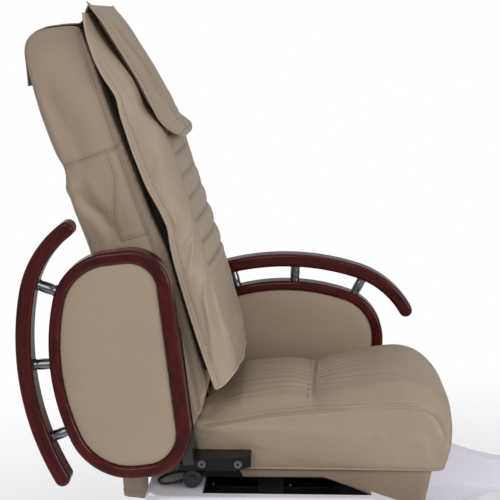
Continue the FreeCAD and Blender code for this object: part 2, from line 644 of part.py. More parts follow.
def turned_post(length):
    """A post with a collar at each end, a groove inside each collar and a barrel between."""
    collar = v.post_collar
    neck = v.post_waist - 1
    edges = [(0, 0), ((v.post_radius, 0),), ((v.post_radius, collar),), ((neck, collar),), ((neck, collar + 2),),
                  ((v.post_radius - 0.6, length / 2), (neck, length - collar - 2)), ((neck, length - collar),),
                  ((v.post_radius, length - collar),), ((v.post_radius, length),), ((0, length),), ((0, 0),)]
    return Part.Face(wire(edges, side_view(0))).revolve(Vector(), Z_AXIS, 360)


def panel_shape():
    """The panel: layered outlines that draw in towards both crowned faces."""
    levels = [(v.panel_core / 2, 0), (v.panel_core / 2 + 0.55 * v.panel_crown, 8),
              (v.panel_core / 2 + 0.85 * v.panel_crown, 26), (v.panel_core / 2 + v.panel_crown, 44)]
    inset = v.ring_bar + v.fit_gap
    wires = [wire(oval(inset + step, v.ring_lift), side_view(-depth)) for depth, step in reversed(levels)]
    wires += [wire(oval(inset + step, v.ring_lift), side_view(depth)) for depth, step in levels]
    return Part.makeLoft(wires, True, True)


def plate_outline():
    """Hinge plate: a bar along the ring's foot with a tail past the pin for the raised stop."""
    tail, low, high = v.tail_half, v.plate_low, v.plate_high
    end = v.plate_end
    return [(-v.tail_end, -tail), ((0, -tail),), ((10, -low),), ((end - 12, -low),),
                 ((end - 12 + 12 * cosine(45), -low + 12 - 12 * sine(45)), (end, -low + 12)), ((end, high - 12),),
                 ((end - 12 + 12 * cosine(45), high - 12 + 12 * sine(45)), (end - 12, high)), ((20, high),),
                 ((4, tail),), ((-v.tail_end, tail),), ((-v.tail_end, -tail),)]


stop_drop = v.plate_low + v.stop_radius + v.stop_gap
stop_ahead = (v.tail_half + v.stop_radius + v.stop_gap - stop_drop * cosine(v.arm_swing)) / sine(v.arm_swing)
ring_inner_face = v.arm_middle - v.arm_width / 2
plate_inner_face = ring_inner_face - v.plate_thick
bracket_face = plate_inner_face - v.hinge_gap
PLATE_SCREWS = (99, 155, 269)


def armrest(side, sign, swing):
    """All pieces of one arm, drawn at the pin and turned up by the swing."""
    turn = Rotation(Y_AXIS, -swing)

    def put(item, y):
        item.Placement = Placement(Vector(v.arm_pivot_x, y, v.arm_pivot_z), turn)
        return item

    hoop = profile(f"{side}_hoop", [oval(0), oval(v.ring_bar, v.ring_lift)], "XZ_Plane", "arm_width", symmetric=True)
    round_rims(hoop, "wood_round")
    keep(put(hoop, sign * v.arm_middle), f"{side}_armrest_ring")
    put(solid(f"{side}_armrest_panel", panel_shape()), sign * v.arm_middle)
    bar = profile(f"{side}_bar", [hand_rail_outline()], "XZ_Plane", "arm_width", symmetric=True)
    round_rims(bar, "wood_round")
    keep(put(bar, sign * v.arm_middle), f"{side}_armrest_rail")
    posts = []
    for (across, up), lean, length in post_seats():
        post = turned_post(length - v.post_gap)
        post.Placement = Placement(Vector(across, 0, up), Rotation(Y_AXIS, lean))
        posts.append(post)
    put(solid(f"{side}_armrest_posts", Part.makeCompound(posts)), sign * v.arm_middle)
    plate = profile(f"{side}_plate", [plate_outline()], "XZ_Plane", "plate_thick", symmetric=True)
    eye = plate.newObject("Sketcher::SketchObject", f"{side}_plate_eye")
    eye.AttachmentSupport = ([f for f in plate.Origin.OriginFeatures if f.Role == "XZ_Plane"][0], [""])
    eye.MapMode = "FlatFace"
    eye.addGeometry(Part.Circle(Vector(), Z_AXIS, v.pin_radius), False)
    bore_cut = plate.newObject("PartDesign::Pocket", f"{side}_plate_bore")
    bore_cut.Profile = eye
    bore_cut.SideType = "Symmetric"
    bind(bore_cut, "Length", "3 * plate_thick")
    keep(put(plate, sign * (ring_inner_face - v.plate_thick / 2)), f"{side}_hinge_plate")
    heads = []
    for along in PLATE_SCREWS:
        head = Part.makeCylinder(5, 3.5, Vector(along, 0, -2), Vector(0, -sign, 0))
        rims = [edge for edge in head.Edges if abs(abs(edge.BoundBox.YMin) - 3.5) < 0.01 and edge.BoundBox.YLength < 0.01]
        heads.append(head.makeFillet(1.2, rims))
    put(solid(f"{side}_hinge_screws", Part.makeCompound(heads)), sign * plate_inner_face)
    shank = Part.makeCylinder(v.pin_radius, v.plate_thick + v.hinge_gap + v.barrel_length, Vector(),
                              Vector(0, -sign, 0))
    head_start = v.plate_thick + v.hinge_gap + v.barrel_length + v.hinge_gap
    collar = Part.makeCylinder(v.pin_radius + 4, 4, Vector(0, -sign * head_start, 0), Vector(0, -sign, 0))
    neck = Part.makeCylinder(v.pin_radius, v.hinge_gap + 1, Vector(0, -sign * (head_start - v.hinge_gap), 0),
                             Vector(0, -sign, 0))
    put(solid(f"{side}_pivot_pin", shank.fuse(neck).fuse(collar).removeSplitter()), sign * ring_inner_face)


armrest("right", -1, v.arm_swing)
armrest("left", 1, 0)


# Arm brackets: a chamfered block bolted through the seat's side, with the hinge barrel and one stop stud
def bracket_plan():
    """Top view of the block, drawn for the left side with the outer face at the top."""
    rear = -v.barrel_radius
    front = v.bracket_length - v.barrel_radius
    outer = bracket_face
    inner = bracket_face - v.bracket_depth
    return [(rear, inner), ((front, inner),), ((front, outer - v.bracket_chamfer_y),),
                 ((front - v.bracket_chamfer_x, outer),), ((rear, outer),), ((rear, inner),)]


def bracket_shape():
    low = -v.bracket_drop
    block = Part.Face(wire(bracket_plan())).extrude(Vector(0, 0, v.bracket_height))
    block.translate(Vector(0, 0, low))
    barrel_start = Vector(0, bracket_face, 0)
    barrel = Part.makeCylinder(v.barrel_radius, v.barrel_length, barrel_start, -Y_AXIS)
    web = Part.makeBox(2 * v.barrel_radius, v.barrel_length, v.bracket_drop - 1,
                       Vector(-v.barrel_radius, bracket_face - v.barrel_length, low + 1))
    stud = Part.makeCylinder(v.stop_radius, v.plate_thick - v.fit_gap + v.hinge_gap + 4,
                             Vector(stop_ahead, bracket_face - 4, -stop_drop), Y_AXIS)
    shape = block.fuse([barrel, web, stud])
    boss_length = bracket_face - v.bracket_depth - v.frame_outer + 4
    for number in range(2):
        along = v.screw_first + number * v.screw_pitch
        up = low + v.bracket_height / 2
        shape = shape.fuse(Part.makeCylinder(v.boss_radius, boss_length, Vector(along, v.frame_outer, up), Y_AXIS))
        shape = shape.cut(Part.makeCylinder(v.screw_radius + v.fit_gap, FAR, Vector(along, 0, up), Y_AXIS))
    bore_hole = Part.makeCylinder(v.pin_radius + v.running_gap, 2 * v.bracket_depth,
                                  Vector(0, bracket_face + 1, 0), -Y_AXIS)
    return shape.cut(bore_hole).removeSplitter()


def bracket_bolts():
    """Two socket screws with washers."""
    bolts = []
    for number in range(2):
        along = v.screw_first + number * v.screw_pitch
        seat = Vector(along, bracket_face, v.bracket_height / 2 - v.bracket_drop)
        washer = Part.makeCylinder(v.screw_head + 2.5, 1.5, seat, Y_AXIS)
        cap = Part.makeCylinder(v.screw_head, 3.5, seat, Y_AXIS)
        shank = Part.makeCylinder(v.screw_radius, v.bracket_depth + 38, seat, -Y_AXIS)
        socket = Part.makeCylinder(v.screw_head / 2, 3, seat + Vector(0, 1.5, 0), Y_AXIS)
        bolts.append(washer.fuse([cap, shank]).cut(socket).removeSplitter())
    return Part.makeCompound(bolts)


for side in ("right", "left"):
    for label, shape in ((f"arm_bracket_{side}", bracket_shape()), (f"bracket_screws_{side}", bracket_bolts())):
        if side == "right":
            shape = shape.mirror(Vector(), Y_AXIS)
        solid(label, shape).Placement = Placement(Vector(v.arm_pivot_x, 0, v.arm_pivot_z), Rotation())


# Recline drive: a gearmotor on the right lug, a cap on the left, and a stub shaft on each side of the back
def drum(length, start, radius, hub):
    """A capped round housing along Y with a stepped hub on its outer end."""
    body = Part.makeCylinder(radius, length - 6, Vector(0, start, 0), Y_AXIS)
    outer_rim = [edge for edge in body.Edges if edge.BoundBox.YMin > start + length - 7 and edge.BoundBox.YLength < 0.01]
    body = body.makeFillet(4, outer_rim)
    hub_disc = Part.makeCylinder(hub, 6, Vector(0, start + length - 6.5, 0), Y_AXIS)
    return body.fuse(hub_disc)


drive_start = v.lug_inner + v.lug_thick + v.fit_gap
drive_length = v.gearmotor_end - drive_start
shaft_reach = v.lug_inner + v.lug_thick + 26
shaft_bore = Part.makeCylinder(v.shaft_radius + v.running_gap, shaft_reach + 1, Vector(), Y_AXIS)
gear_case = Part.makeBox(33, 44, 40, Vector(-v.gearmotor_radius, drive_start, -20))
gearmotor = drum(drive_length, drive_start, v.gearmotor_radius, 8).fuse(gear_case).cut(shaft_bore)
cap = drum(40, drive_start, v.gearmotor_radius, 8).cut(shaft_bore)
pivot = Placement(Vector(v.recline_x, 0, v.recline_z), Rotation())
solid("recline_gearmotor", gearmotor.removeSplitter().mirror(Vector(), Y_AXIS)).Placement = pivot
solid("pivot_cap_left", cap.removeSplitter()).Placement = pivot
plate_inner = v.plate_half - v.back_plate
for side, sign in (("right", -1), ("left", 1)):
    stub = Part.makeCylinder(v.shaft_radius, shaft_reach - plate_inner, Vector(0, sign * plate_inner, 0),
                             Vector(0, sign, 0))
    solid(f"recline_shaft_{side}", stub).Placement = pivot

# Motor lead: a short loop from the motor's end cap to its gear case
LEAD_OFFSETS = [(-23, -286, -8), (-44, -286, -13), (-62.5, -281.5, -17), (-76, -268, -19), (-81, -249.5, -19.5),
                (-76, -231, -19), (-62.5, -217, -16.5), (-44, -212, -12), (-23, -212, -7)]
LEAD_POINTS = [(v.recline_x + ahead, y, v.recline_z + up) for ahead, y, up in LEAD_OFFSETS]


def lead_tube(points, radius):
    """A round tube on straight runs joined by tangent arcs."""
    nodes = [Vector(*point) for point in points]
    edges = []
    radii = []
    here = nodes[0]
    for before, corner, after in zip(nodes, nodes[1:], nodes[2:]):
        into = (corner - before).normalize()
        out = (after - corner).normalize()
        turn = into.getAngle(out)
        trim = 0.45 * min((corner - before).Length, (after - corner).Length)
        radii.append(round(trim / math.tan(turn / 2), 1))
        first, last = corner - into * trim, corner + out * trim
        bisector = (out - into).normalize()
        depth = radii[-1] * (1 / math.cos(turn / 2) - 1)
        edges += [Part.LineSegment(here, first).toShape(), Part.Arc(first, corner + bisector * depth, last).toShape()]
        here = last
    edges.append(Part.LineSegment(here, nodes[-1]).toShape())
    path = Part.Wire(edges)
    ring = Part.Wire(Part.Circle(nodes[0], nodes[1] - nodes[0], radius).toShape())
    tube = path.makePipeShell([ring], True, False)
    fullness = tube.Volume / (math.pi * radius ** 2 * path.Length)
    print("motor lead radii", radii, "length", round(path.Length, 1), "volume share", round(fullness, 3))
    return tube


solid("motor_lead", lead_tube(LEAD_POINTS, v.lead_radius))

# Back rest: everything below is drawn along the back's own leaning axis or in the chair's side view
lean_turn = Rotation(Y_AXIS, -v.back_lean)
back_place = Placement(Vector(v.axis_x, 0, v.axis_z), lean_turn)


def on_axis(forward, along, y=0):
    """A point given by its distance in front of the back's axis and along it."""
    return back_place.multVec(Vector(forward, y, along))


def back_point(ahead, up):
    """A side-view point set off from the axis point of a back drawn 742 long; the crest, from 560 up, moves whole."""
    own = lean_turn.inverted().multVec(Vector(ahead, 0, up))
    own.z += (v.back_length - 742) * min(1, max(0, own.z / 560))
    there = back_place.multVec(own)
    return (there.x, there.z)


FRONT_EDGE = (back_point(82, -120), back_point(-14, 302), back_point(-183, 742))
front_arc = Part.Circle(*[Vector(across, 0, up) for across, up in FRONT_EDGE])
front_centre = back_place.inverse().multVec(front_arc.Center)
# side view of the bolster: a bowed front and a slightly hollow rear under a flat top
back_outline = [back_point(57, -228), (back_point(79, -168), FRONT_EDGE[0]), (FRONT_EDGE[1], FRONT_EDGE[2]),
                (back_point(-312, 734),), (back_point(-171, 280), back_point(-43, -228)), (back_point(57, -228),)]
body_block = slab(back_outline, -v.back_half_width, v.back_half_width)
crest_x = back_point(-312, 734)[0] + 12
crest = [edge for edge in body_block.Edges if edge.BoundBox.XMax < crest_x and edge.BoundBox.YLength > 100]
body_block = body_block.makeFillet(v.back_crest_round, crest)
rear_edges = [edge for edge in body_block.Edges
              if edge.BoundBox.YLength < 0.01 and edge.BoundBox.XMin < crest_x + 25
              and edge.BoundBox.XMax < back_point(-43, -228)[0] + 8]
body_block = body_block.makeFillet(v.back_edge_round, rear_edges)
cavity_half = v.back_half_width - v.back_wall
hollow_front = (FRONT_EDGE[1], back_point(-177, 685))
cavity = slab([back_point(85, -280), (FRONT_EDGE[0],), hollow_front, (back_point(-257, 685),),
               (back_point(-215, 480), back_point(-107, 180)), (back_point(-43, -40), back_point(-13, -280)),
               (back_point(85, -280),)], -cavity_half, cavity_half)
front_clear = slab([back_point(125, -320), (FRONT_EDGE[0],), hollow_front, (back_point(45, 685),),
                    (back_point(125, -320),)], -cavity_half, cavity_half)
solid("back_body", body_block.cut(cavity).cut(front_clear).removeSplitter())

# Back frame: two uprights, two cross bars and the pivot plates
uprights = []
for side, low in (("right", "-frame_half"), ("left", "frame_half - frame_bar")):
    uprights.append(box(f"upright_{side}", ("frame_bar", "frame_bar", "frame_high - frame_low"),
                        ("-frame_set_back - frame_bar / 2", low, "frame_low")))
for name, low in (("low", "cross_low"), ("high", "cross_high")):
    uprights.append(box(f"cross_{name}", ("frame_bar", "2 * frame_half", "frame_bar"),
                        ("-frame_set_back - frame_bar / 2", "-frame_half", low)))
frame_stock = join("back_frame_stock", *uprights)
doc.recompute()
weld = frame_stock.Shape.copy()
weld.Placement = back_place
pivot_at = Vector(v.recline_x, 0, v.recline_z)
for sign in (-1, 1):
    start = plate_inner if sign > 0 else -v.plate_half
    eye = Part.makeCylinder(v.lug_radius, v.back_plate, Vector(v.recline_x, start, v.recline_z), Y_AXIS)
    foot = on_axis(-v.frame_set_back, v.frame_low + 60)
    arm = Part.makeBox(26, v.back_plate, (foot - pivot_at).Length, Vector(-13, 0, 0))
    arm.Placement = Placement(Vector(v.recline_x, start, v.recline_z), Rotation(Z_AXIS, foot - pivot_at))
    weld = weld.fuse([eye, arm])
    weld = weld.cut(Part.makeCylinder(v.shaft_radius, 3 * v.back_plate,
                                      Vector(v.recline_x, start - v.back_plate, v.recline_z), Y_AXIS))
solid("back_frame", weld.removeSplitter())

# Massage unit: two guide rods and a screw between the cross bars, a motor, and a carriage with rollers
span_low = v.cross_low + v.frame_bar
rods = []
for sign in (-1, 1):
    rods.append(Part.makeCylinder(v.guide_radius, v.cross_high - span_low,
                                  Vector(-v.frame_set_back, sign * v.rod_spacing, span_low)))
solid("massage_guide_rods", Part.makeCompound(rods)).Placement = back_place
motor_can = Part.makeCylinder(v.massage_motor_radius, v.massage_motor_length, Vector(-v.frame_set_back, 0, span_low))
motor_rim = [edge for edge in motor_can.Edges if edge.BoundBox.ZMin > span_low + v.massage_motor_length - 1]
solid("massage_motor", motor_can.makeFillet(4, motor_rim)).Placement = back_place
screw_start = span_low + v.massage_motor_length
solid("massage_screw", Part.makeCylinder(v.screw_shaft_radius, v.cross_high - screw_start,
                                         Vector(-v.frame_set_back, 0, screw_start))).Placement = back_place
head = Part.makeBox(v.head_depth, v.head_width, v.head_height,
                    Vector(-v.frame_set_back - v.head_depth / 2, -v.head_width / 2, v.head_low))
axle_z = v.head_low + v.head_height / 2
axle_x = v.axle_reach - v.frame_set_back
ear_width = 12
for y in (-v.head_width / 2, v.head_width / 2 - ear_width):
    ear = Part.makeBox(v.axle_reach, ear_width, 28, Vector(-v.frame_set_back, y, axle_z - 14))
    ear_end = Part.makeCylinder(14, ear_width, Vector(axle_x, y, axle_z), Y_AXIS)
    head = head.fuse([ear, ear_end])
for y, radius in ((-v.rod_spacing, v.guide_radius), (0, v.screw_shaft_radius), (v.rod_spacing, v.guide_radius)):
    head = head.cut(Part.makeCylinder(radius + v.running_gap, 2 * v.head_height,
                                      Vector(-v.frame_set_back, y, v.head_low - v.head_height / 2)))
head = head.cut(Part.makeCylinder(v.axle_radius + v.running_gap, 2 * v.head_width,
                                  Vector(axle_x, -v.head_width, axle_z), Y_AXIS))
solid("massage_carriage", head.removeSplitter()).Placement = back_place
axle_span = v.head_width + 8
axle = Part.makeCylinder(v.axle_radius, axle_span, Vector(axle_x, -axle_span / 2, axle_z), Y_AXIS)
solid("massage_axle", axle).Placement = back_place
rollers = []
for y in (-80, -40, 18, 58):
    wheel = Part.makeCylinder(v.roller_radius, v.roller_width, Vector(axle_x, y, axle_z), Y_AXIS)
    wheel = wheel.makeFillet(7, [edge for edge in wheel.Edges if edge.BoundBox.YLength < 0.01])
    rollers.append(wheel.cut(Part.makeCylinder(v.axle_radius, 60, Vector(axle_x, y - 10, axle_z), Y_AXIS)))
solid("massage_rollers", Part.makeCompound(rollers)).Placement = back_place


# Ribbed back pad: sewn channels between soft ribs above a smooth lumbar swell, tapering behind the head pillow
def front_offset(along):
    """How far the bolster's front edge stands ahead of the back's axis."""
    return front_centre.x + math.sqrt(front_arc.Radius ** 2 - (along - front_centre.z) ** 2)


def pad_share(along):
    """The share of its depth that the pad keeps: it steps back behind the pillow's foot and thins to its top."""
    start, end = v.pillow_low - 8, v.pillow_low + v.pad_step
    if along <= start:
        return 1
    if along <= end:
        return 1 - (1 - v.step_share) * (along - start) / (end - start)
    return v.step_share - (v.step_share - v.top_share) * (along - end) / (v.pad_high - end)


def pad_front(along, depth, gap=0):
    """A point on the pad's front, or a gap ahead of it."""
    return (front_offset(along) + depth * pad_share(along) + gap, along)


def pad_profile(depth):
    """Side view of the pad in the back's own axes."""
    low, high = v.pad_low, v.pad_high
    middle = (low + high) / 2
    step_start, step_end = v.pillow_low - 8, v.pillow_low + v.pad_step
    shoulder = high - 46
    grooves = [v.rib_first + rib * v.rib_pitch for rib in range(int(v.rib_count))]
    path = [(front_offset(low) + v.fit_gap, low), ((front_offset(low) + 0.5 * depth, low),),
            ((front_offset(low + 20) + 0.88 * depth, low + 20), pad_front(low + 66, depth)),
            (pad_front((low + 66 + grooves[0]) / 2, depth + 8), pad_front(grooves[0], depth))]
    for start, end in zip(grooves, [*grooves[1:], step_start]):
        path.append((pad_front((start + end) / 2, depth + v.rib_depth), pad_front(end, depth)))
    path += [(pad_front(step_end, depth),), (pad_front((step_end + shoulder) / 2, depth), pad_front(shoulder, depth)),
             ((front_offset(high - 10) + 0.24 * depth, high - 10), (front_offset(high) + 0.1 * depth, high)),
             ((front_offset(high) + v.fit_gap, high),),
             ((front_offset(middle) + v.fit_gap, middle), (front_offset(low) + v.fit_gap, low))]
    return path


pad_shape = across(v.pad_half_width, [(share, pad_profile(part * v.pad_depth)) for share, part in
                                      ((0, 1), (0.45, 0.985), (0.75, 0.95), (0.92, 0.88), (1, 0.72))])
solid("back_pad", pad_shape).Placement = back_place


# Cover wings: loose leather flaps along both sides of the pad, standing off at their piped hems
def stand_off(start, end, distance):
    """A shift square to a chord, to the right of its direction."""
    across, ahead = end[0] - start[0], end[1] - start[1]
    span = math.hypot(across, ahead)
    return (distance * ahead / span, -distance * across / span)


def wing_section(along, hem_ahead, nose_ahead):
    """One strip of the left wing: from the hem forward and in to the pad's front shoulder."""
    rear = front_offset(along)
    hem = (v.wing_flare, rear + hem_ahead)
    nose = (v.pad_half_width + v.wing_thick, rear + nose_ahead)
    bow = stand_off(hem, nose, v.wing_bow)
    skin = stand_off(hem, nose, -v.wing_thick)
    middle = ((hem[0] + nose[0]) / 2 + bow[0], (hem[1] + nose[1]) / 2 + bow[1])
    inner = [(across + skin[0], ahead + skin[1]) for across, ahead in (hem, middle, nose)]
    return wire([inner[0], (hem,), (middle, nose), (inner[2],), (inner[1], inner[0])], back_plan(along))


# stations above the pad's foot, then up and down from the pillow's foot
LOW_STATIONS = [(18, 30, 46), (80, 12, 60), (220, 6, 60)]
HIGH_STATIONS = [(-148, 14, 60), (-8, 6, 58), (67, 9, 44), (142, 16, 36), (284, 8, 20)]
wing = Part.makeLoft([wing_section(start + along, hem, nose) for start, stations in
                      ((v.pad_low, LOW_STATIONS), (v.pillow_low, HIGH_STATIONS)) for along, hem, nose in stations], True, False)
wing.Placement = back_place
solid("cover_wing_left", wing)
solid("cover_wing_right", wing.mirror(Vector(), Y_AXIS))


# Head pillow: a padded flap that lies on the pad's upper front, held by a flat strap over the top
def pillow_rear(along):
    """A point on the pillow's rear, just ahead of the pad."""
    return pad_front(along, v.pad_depth, v.pillow_gap)


def pillow_profile(swell):
    """Side view of the pillow in the back's own axes, thicker by a swell."""
    low, high, step_end = v.pillow_low, v.pillow_high, v.pillow_low + v.pad_step
    middle = (step_end + high) / 2
    rear_low, rear_step, rear_middle, rear_top = (pillow_rear(along) for along in (low, step_end, middle, high))
    return [rear_low, ((rear_low[0] + 0.85 * swell, low - 7),),
            ((rear_step[0] + 0.98 * swell, step_end), (rear_middle[0] + 0.95 * swell, middle)),
            ((pillow_rear(high - 36)[0] + 0.85 * swell, high - 36), (rear_top[0] + 0.2 * swell, high)), (rear_top,),
            (rear_middle, rear_step), (rear_low,)]


pillow = across(v.pillow_half_width, [(share, pillow_profile(part * v.pillow_thick)) for share, part in
                                      ((0, 1), (0.5, 0.96), (0.8, 0.84), (0.94, 0.62), (1, 0.34))])
solid("head_pillow", pillow).Placement = back_place

# Strap: a flat leather flap from the pillow over the bolster's crest and down its rear
def strap_face(lift):
    """One face of the strap in the side view, lifted off the bolster."""
    start = v.pillow_high - 2
    top = on_axis(pillow_rear(start)[0] - 3 * v.fit_gap, start + lift)
    behind = on_axis(front_offset(v.pad_high) + 2, v.pad_high + 3 + lift)
    crest_path = [back_point(-227, 739.9), back_point(-262.4, 737.6), back_point(-292, 720.8), back_point(-296.8, 686.9),
                  back_point(-270.4, 608)]
    lifts = ((0, 1), (0, 1), (-0.8, 0.6), (-1, 0), (-1, 0))
    over = [(across + lift * ahead, height + lift * up) for (across, height), (ahead, up) in zip(crest_path, lifts)]
    return [(top.x, top.z), (behind.x, behind.z), *over]


inner, outer = strap_face(0), strap_face(v.strap_thick)
strap_path = [inner[0], *[(point,) for point in inner[1:4]], (inner[4], inner[5]), (inner[6],), (outer[6],), (outer[5],),
              (outer[4], outer[3]), *[(point,) for point in outer[2::-1]], (inner[0],)]
solid("pillow_strap", slab(strap_path, -v.strap_half_width, v.strap_half_width))

# Loose tail of the rear cover: a U-shaped leather skirt that hangs behind the base
tail_rear = v.axis_x - 102
tail_front = -v.base_length / 2 - 3
tail_head = back_point(-85, 40)
tail_block = slab([tail_head, (back_point(-107, -120), (tail_rear, v.tail_foot)), ((tail_front, v.tail_foot),),
                   ((tail_front - 4, v.deck_height + 48), back_point(-67, -80)), (tail_head,)],
                  -v.tail_half_width, v.tail_half_width)
tail_core = slab([back_point(-75, 40), (back_point(-103, -120), (tail_rear + v.tail_thick, v.tail_foot - 5)),
                  ((tail_front + 53, v.tail_foot - 5),), (back_point(-15, 40),), (back_point(-75, 40),)],
                 v.tail_thick - v.tail_half_width, v.tail_half_width - v.tail_thick)
body_clear = body_block.copy()
body_clear.translate(Vector(-v.fit_gap, 0, 0))
solid("back_tail", tail_block.cut(tail_core).cut(body_clear))

doc.recompute()
for item in doc.Objects:
    if "Invalid" in item.State or "Error" in item.State:
        raise RuntimeError(f"{item.Label} failed: {item.State}")
for item in SUBPARTS:
    if item.Shape.isNull() or not item.Shape.isValid() or not item.Shape.Solids:
        raise RuntimeError(f"{item.Label} has no valid solid")
os.makedirs("parts", exist_ok=True)
for item in SUBPARTS:
    item.Shape.exportStep(f"parts/{item.Label}.step")
print(len(SUBPARTS), "sub-parts written")
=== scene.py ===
import math

import bmesh
import bpy
import numpy as np
from mathutils import Matrix, Vector
from mathutils.bvhtree import BVHTree
from mathutils.kdtree import KDTree


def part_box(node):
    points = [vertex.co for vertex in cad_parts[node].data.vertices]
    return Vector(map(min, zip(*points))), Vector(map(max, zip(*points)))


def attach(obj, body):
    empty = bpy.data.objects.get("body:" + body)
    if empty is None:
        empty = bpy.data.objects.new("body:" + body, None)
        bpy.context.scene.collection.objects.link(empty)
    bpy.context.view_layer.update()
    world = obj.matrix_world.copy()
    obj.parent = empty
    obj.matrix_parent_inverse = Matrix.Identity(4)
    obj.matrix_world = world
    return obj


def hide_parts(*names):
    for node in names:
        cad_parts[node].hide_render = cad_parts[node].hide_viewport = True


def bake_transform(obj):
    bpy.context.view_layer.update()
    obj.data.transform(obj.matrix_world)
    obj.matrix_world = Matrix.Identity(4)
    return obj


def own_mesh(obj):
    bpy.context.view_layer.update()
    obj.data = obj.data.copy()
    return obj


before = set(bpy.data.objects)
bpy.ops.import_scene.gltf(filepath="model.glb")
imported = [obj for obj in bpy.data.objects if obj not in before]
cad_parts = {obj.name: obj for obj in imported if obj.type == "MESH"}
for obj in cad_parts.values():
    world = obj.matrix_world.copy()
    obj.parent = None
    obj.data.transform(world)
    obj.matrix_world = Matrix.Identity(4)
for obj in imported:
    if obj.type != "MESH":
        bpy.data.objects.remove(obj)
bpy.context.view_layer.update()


# Moulded base: one gel-coated fibreglass shell in pale lilac grey, laid up in a mould, with a flat deck
# over the slide bay and sides that sweep down to the tub's rim. It stands on the floor by itself.
def add(tree, kind, inputs=None, **settings):
    """Adds a shader node; an input is joined where it is given a socket and set where it is given a value."""
    node = tree.nodes.new("ShaderNode" + kind)
    for name, value in settings.items():
        setattr(node, name, value)
    for label, value in (inputs or {}).items():
        if isinstance(value, bpy.types.NodeSocket):
            tree.links.new(value, node.inputs[label])
        else:
            node.inputs[label].default_value = value
    return node


def noise(tree, scale, detail, roughness=0.5):
    """Cloudy noise from 0 to 1 over the object."""
    spot = add(tree, "TexCoord").outputs["Object"]
    cloud = add(tree, "TexNoise", {"Vector": spot, "Scale": scale, "Detail": detail, "Roughness": roughness})
    return cloud.outputs["Fac"]


def spread(tree, value, start, end, low=0.0, high=1.0, **settings):
    """A value that runs from low to high while the given one runs from start to end."""
    limits = {"Value": value, "From Min": start, "From Max": end, "To Min": low, "To Max": high}
    return add(tree, "MapRange", limits, **settings).outputs["Result"]


def effect(name, inputs, outputs):
    """An empty shader group with number inputs and outputs, and its two end nodes."""
    tree = bpy.data.node_groups.new(name, "ShaderNodeTree")
    for label, value in inputs.items():
        tree.interface.new_socket(label, in_out="INPUT", socket_type="NodeSocketFloat").default_value = value
    for label in outputs:
        tree.interface.new_socket(label, in_out="OUTPUT", socket_type="NodeSocketFloat")
    return tree, tree.nodes.new("NodeGroupInput").outputs, tree.nodes.new("NodeGroupOutput").inputs


mottling, given, result = effect("mottling", {"Scale": 5.0, "Low": 0.95, "High": 1.05}, ["Value"])
cloud = noise(mottling, given["Scale"], 4.0, 0.6)
mottling.links.new(spread(mottling, cloud, 0.3, 0.7, given["Low"], given["High"]), result["Value"])

paint_skin, given, result = effect("paint_skin", {"Scale": 300.0}, ["Height"])
paint_skin.links.new(noise(paint_skin, given["Scale"], 2.0), result["Height"])


def shade(red, green, blue):
    """A display colour of 0 to 255 in the renderer's own linear values."""
    return (*[((channel / 255 + 0.055) / 1.055) ** 2.4 for channel in (red, green, blue)], 1.0)


def finish(name, colour, gloss, tone=(0.96, 1.04), tone_scale=5.0, fixed=None):
    """A material whose colour and roughness drift over the surface; gloss is the lowest and highest roughness."""
    material = bpy.data.materials.new(name)
    material.use_nodes = True
    tree = material.node_tree
    shader = tree.nodes["Principled BSDF"]
    drift = add(tree, "Group", {"Scale": tone_scale, "Low": tone[0], "High": tone[1]}, node_tree=mottling)
    tint = add(tree, "HueSaturation", {"Value": drift.outputs["Value"], "Color": colour})
    polish = add(tree, "Group", {"Scale": 3 * tone_scale, "Low": gloss[0], "High": gloss[1]}, node_tree=mottling)
    tree.links.new(tint.outputs["Color"], shader.inputs["Base Color"])
    tree.links.new(polish.outputs["Value"], shader.inputs["Roughness"])
    for label, value in (fixed or {}).items():
        shader.inputs[label].default_value = value
    return material, tree, shader


def relief(tree, shader, height, depth):
    """A bump of a given depth in metres."""
    bump = add(tree, "Bump", {"Height": height, "Distance": depth, "Strength": 1.0})
    tree.links.new(bump.outputs["Normal"], shader.inputs["Normal"])


def coated(name, colour, gloss, skin_scale, skin_depth, **options):
    """A painted, moulded or plated finish with a fine skin."""
    material, tree, shader = finish(name, colour, gloss, **options)
    skin = add(tree, "Group", {"Scale": skin_scale}, node_tree=paint_skin)
    relief(tree, shader, skin.outputs["Height"], skin_depth)
    return material


def dress(material, *names):
    """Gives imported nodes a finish."""
    for name in names:
        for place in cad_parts[name].material_slots:
            place.material = material


def soften(width, *names):
    """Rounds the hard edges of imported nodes, as bending, casting or paint does."""
    for name in names:
        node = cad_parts[name]
        weld = node.modifiers.new("weld", "WELD")
        weld.merge_threshold = 2e-5
        rounding = node.modifiers.new("edge", "BEVEL")
        rounding.width = width
        rounding.segments = 2
        rounding.limit_method = "ANGLE"
        rounding.angle_limit = math.radians(40)
        rounding.harden_normals = True


gel_coat = coated("gel_coat", shade(245, 243, 252), (0.16, 0.24), 90.0, 0.00006, tone=(0.985, 1.015), tone_scale=2.0,
                  fixed={"Coat Weight": 0.5, "Coat Roughness": 0.05})
dress(gel_coat, "base_shell")

# Floor board: a sheet of sealed black board, cut to the inside of the shell and screwed up against its foot,
# so that the base is closed underneath.
floor_board = coated("sealed_board", shade(46, 44, 44), (0.6, 0.75), 700.0, 0.0002, tone=(0.8, 1.2), tone_scale=30.0)
dress(floor_board, "base_floor_panel")

# Foot bowl: a white acrylic basin, thermoformed in one piece and dropped into the tub by its flange.
# A bright pressed strainer is clamped in its floor.
acrylic = coated("acrylic", shade(236, 236, 240), (0.08, 0.14), 60.0, 0.00003, tone=(0.99, 1.01),
                 fixed={"Coat Weight": 0.6, "Coat Roughness": 0.03})
dress(acrylic, "foot_bowl")
plated = coated("bright_plating", shade(208, 210, 214), (0.05, 0.13), 250.0, 0.00001, tone=(0.97, 1.03),
                tone_scale=14.0, fixed={"Metallic": 1.0})
dress(plated, "bowl_drain")

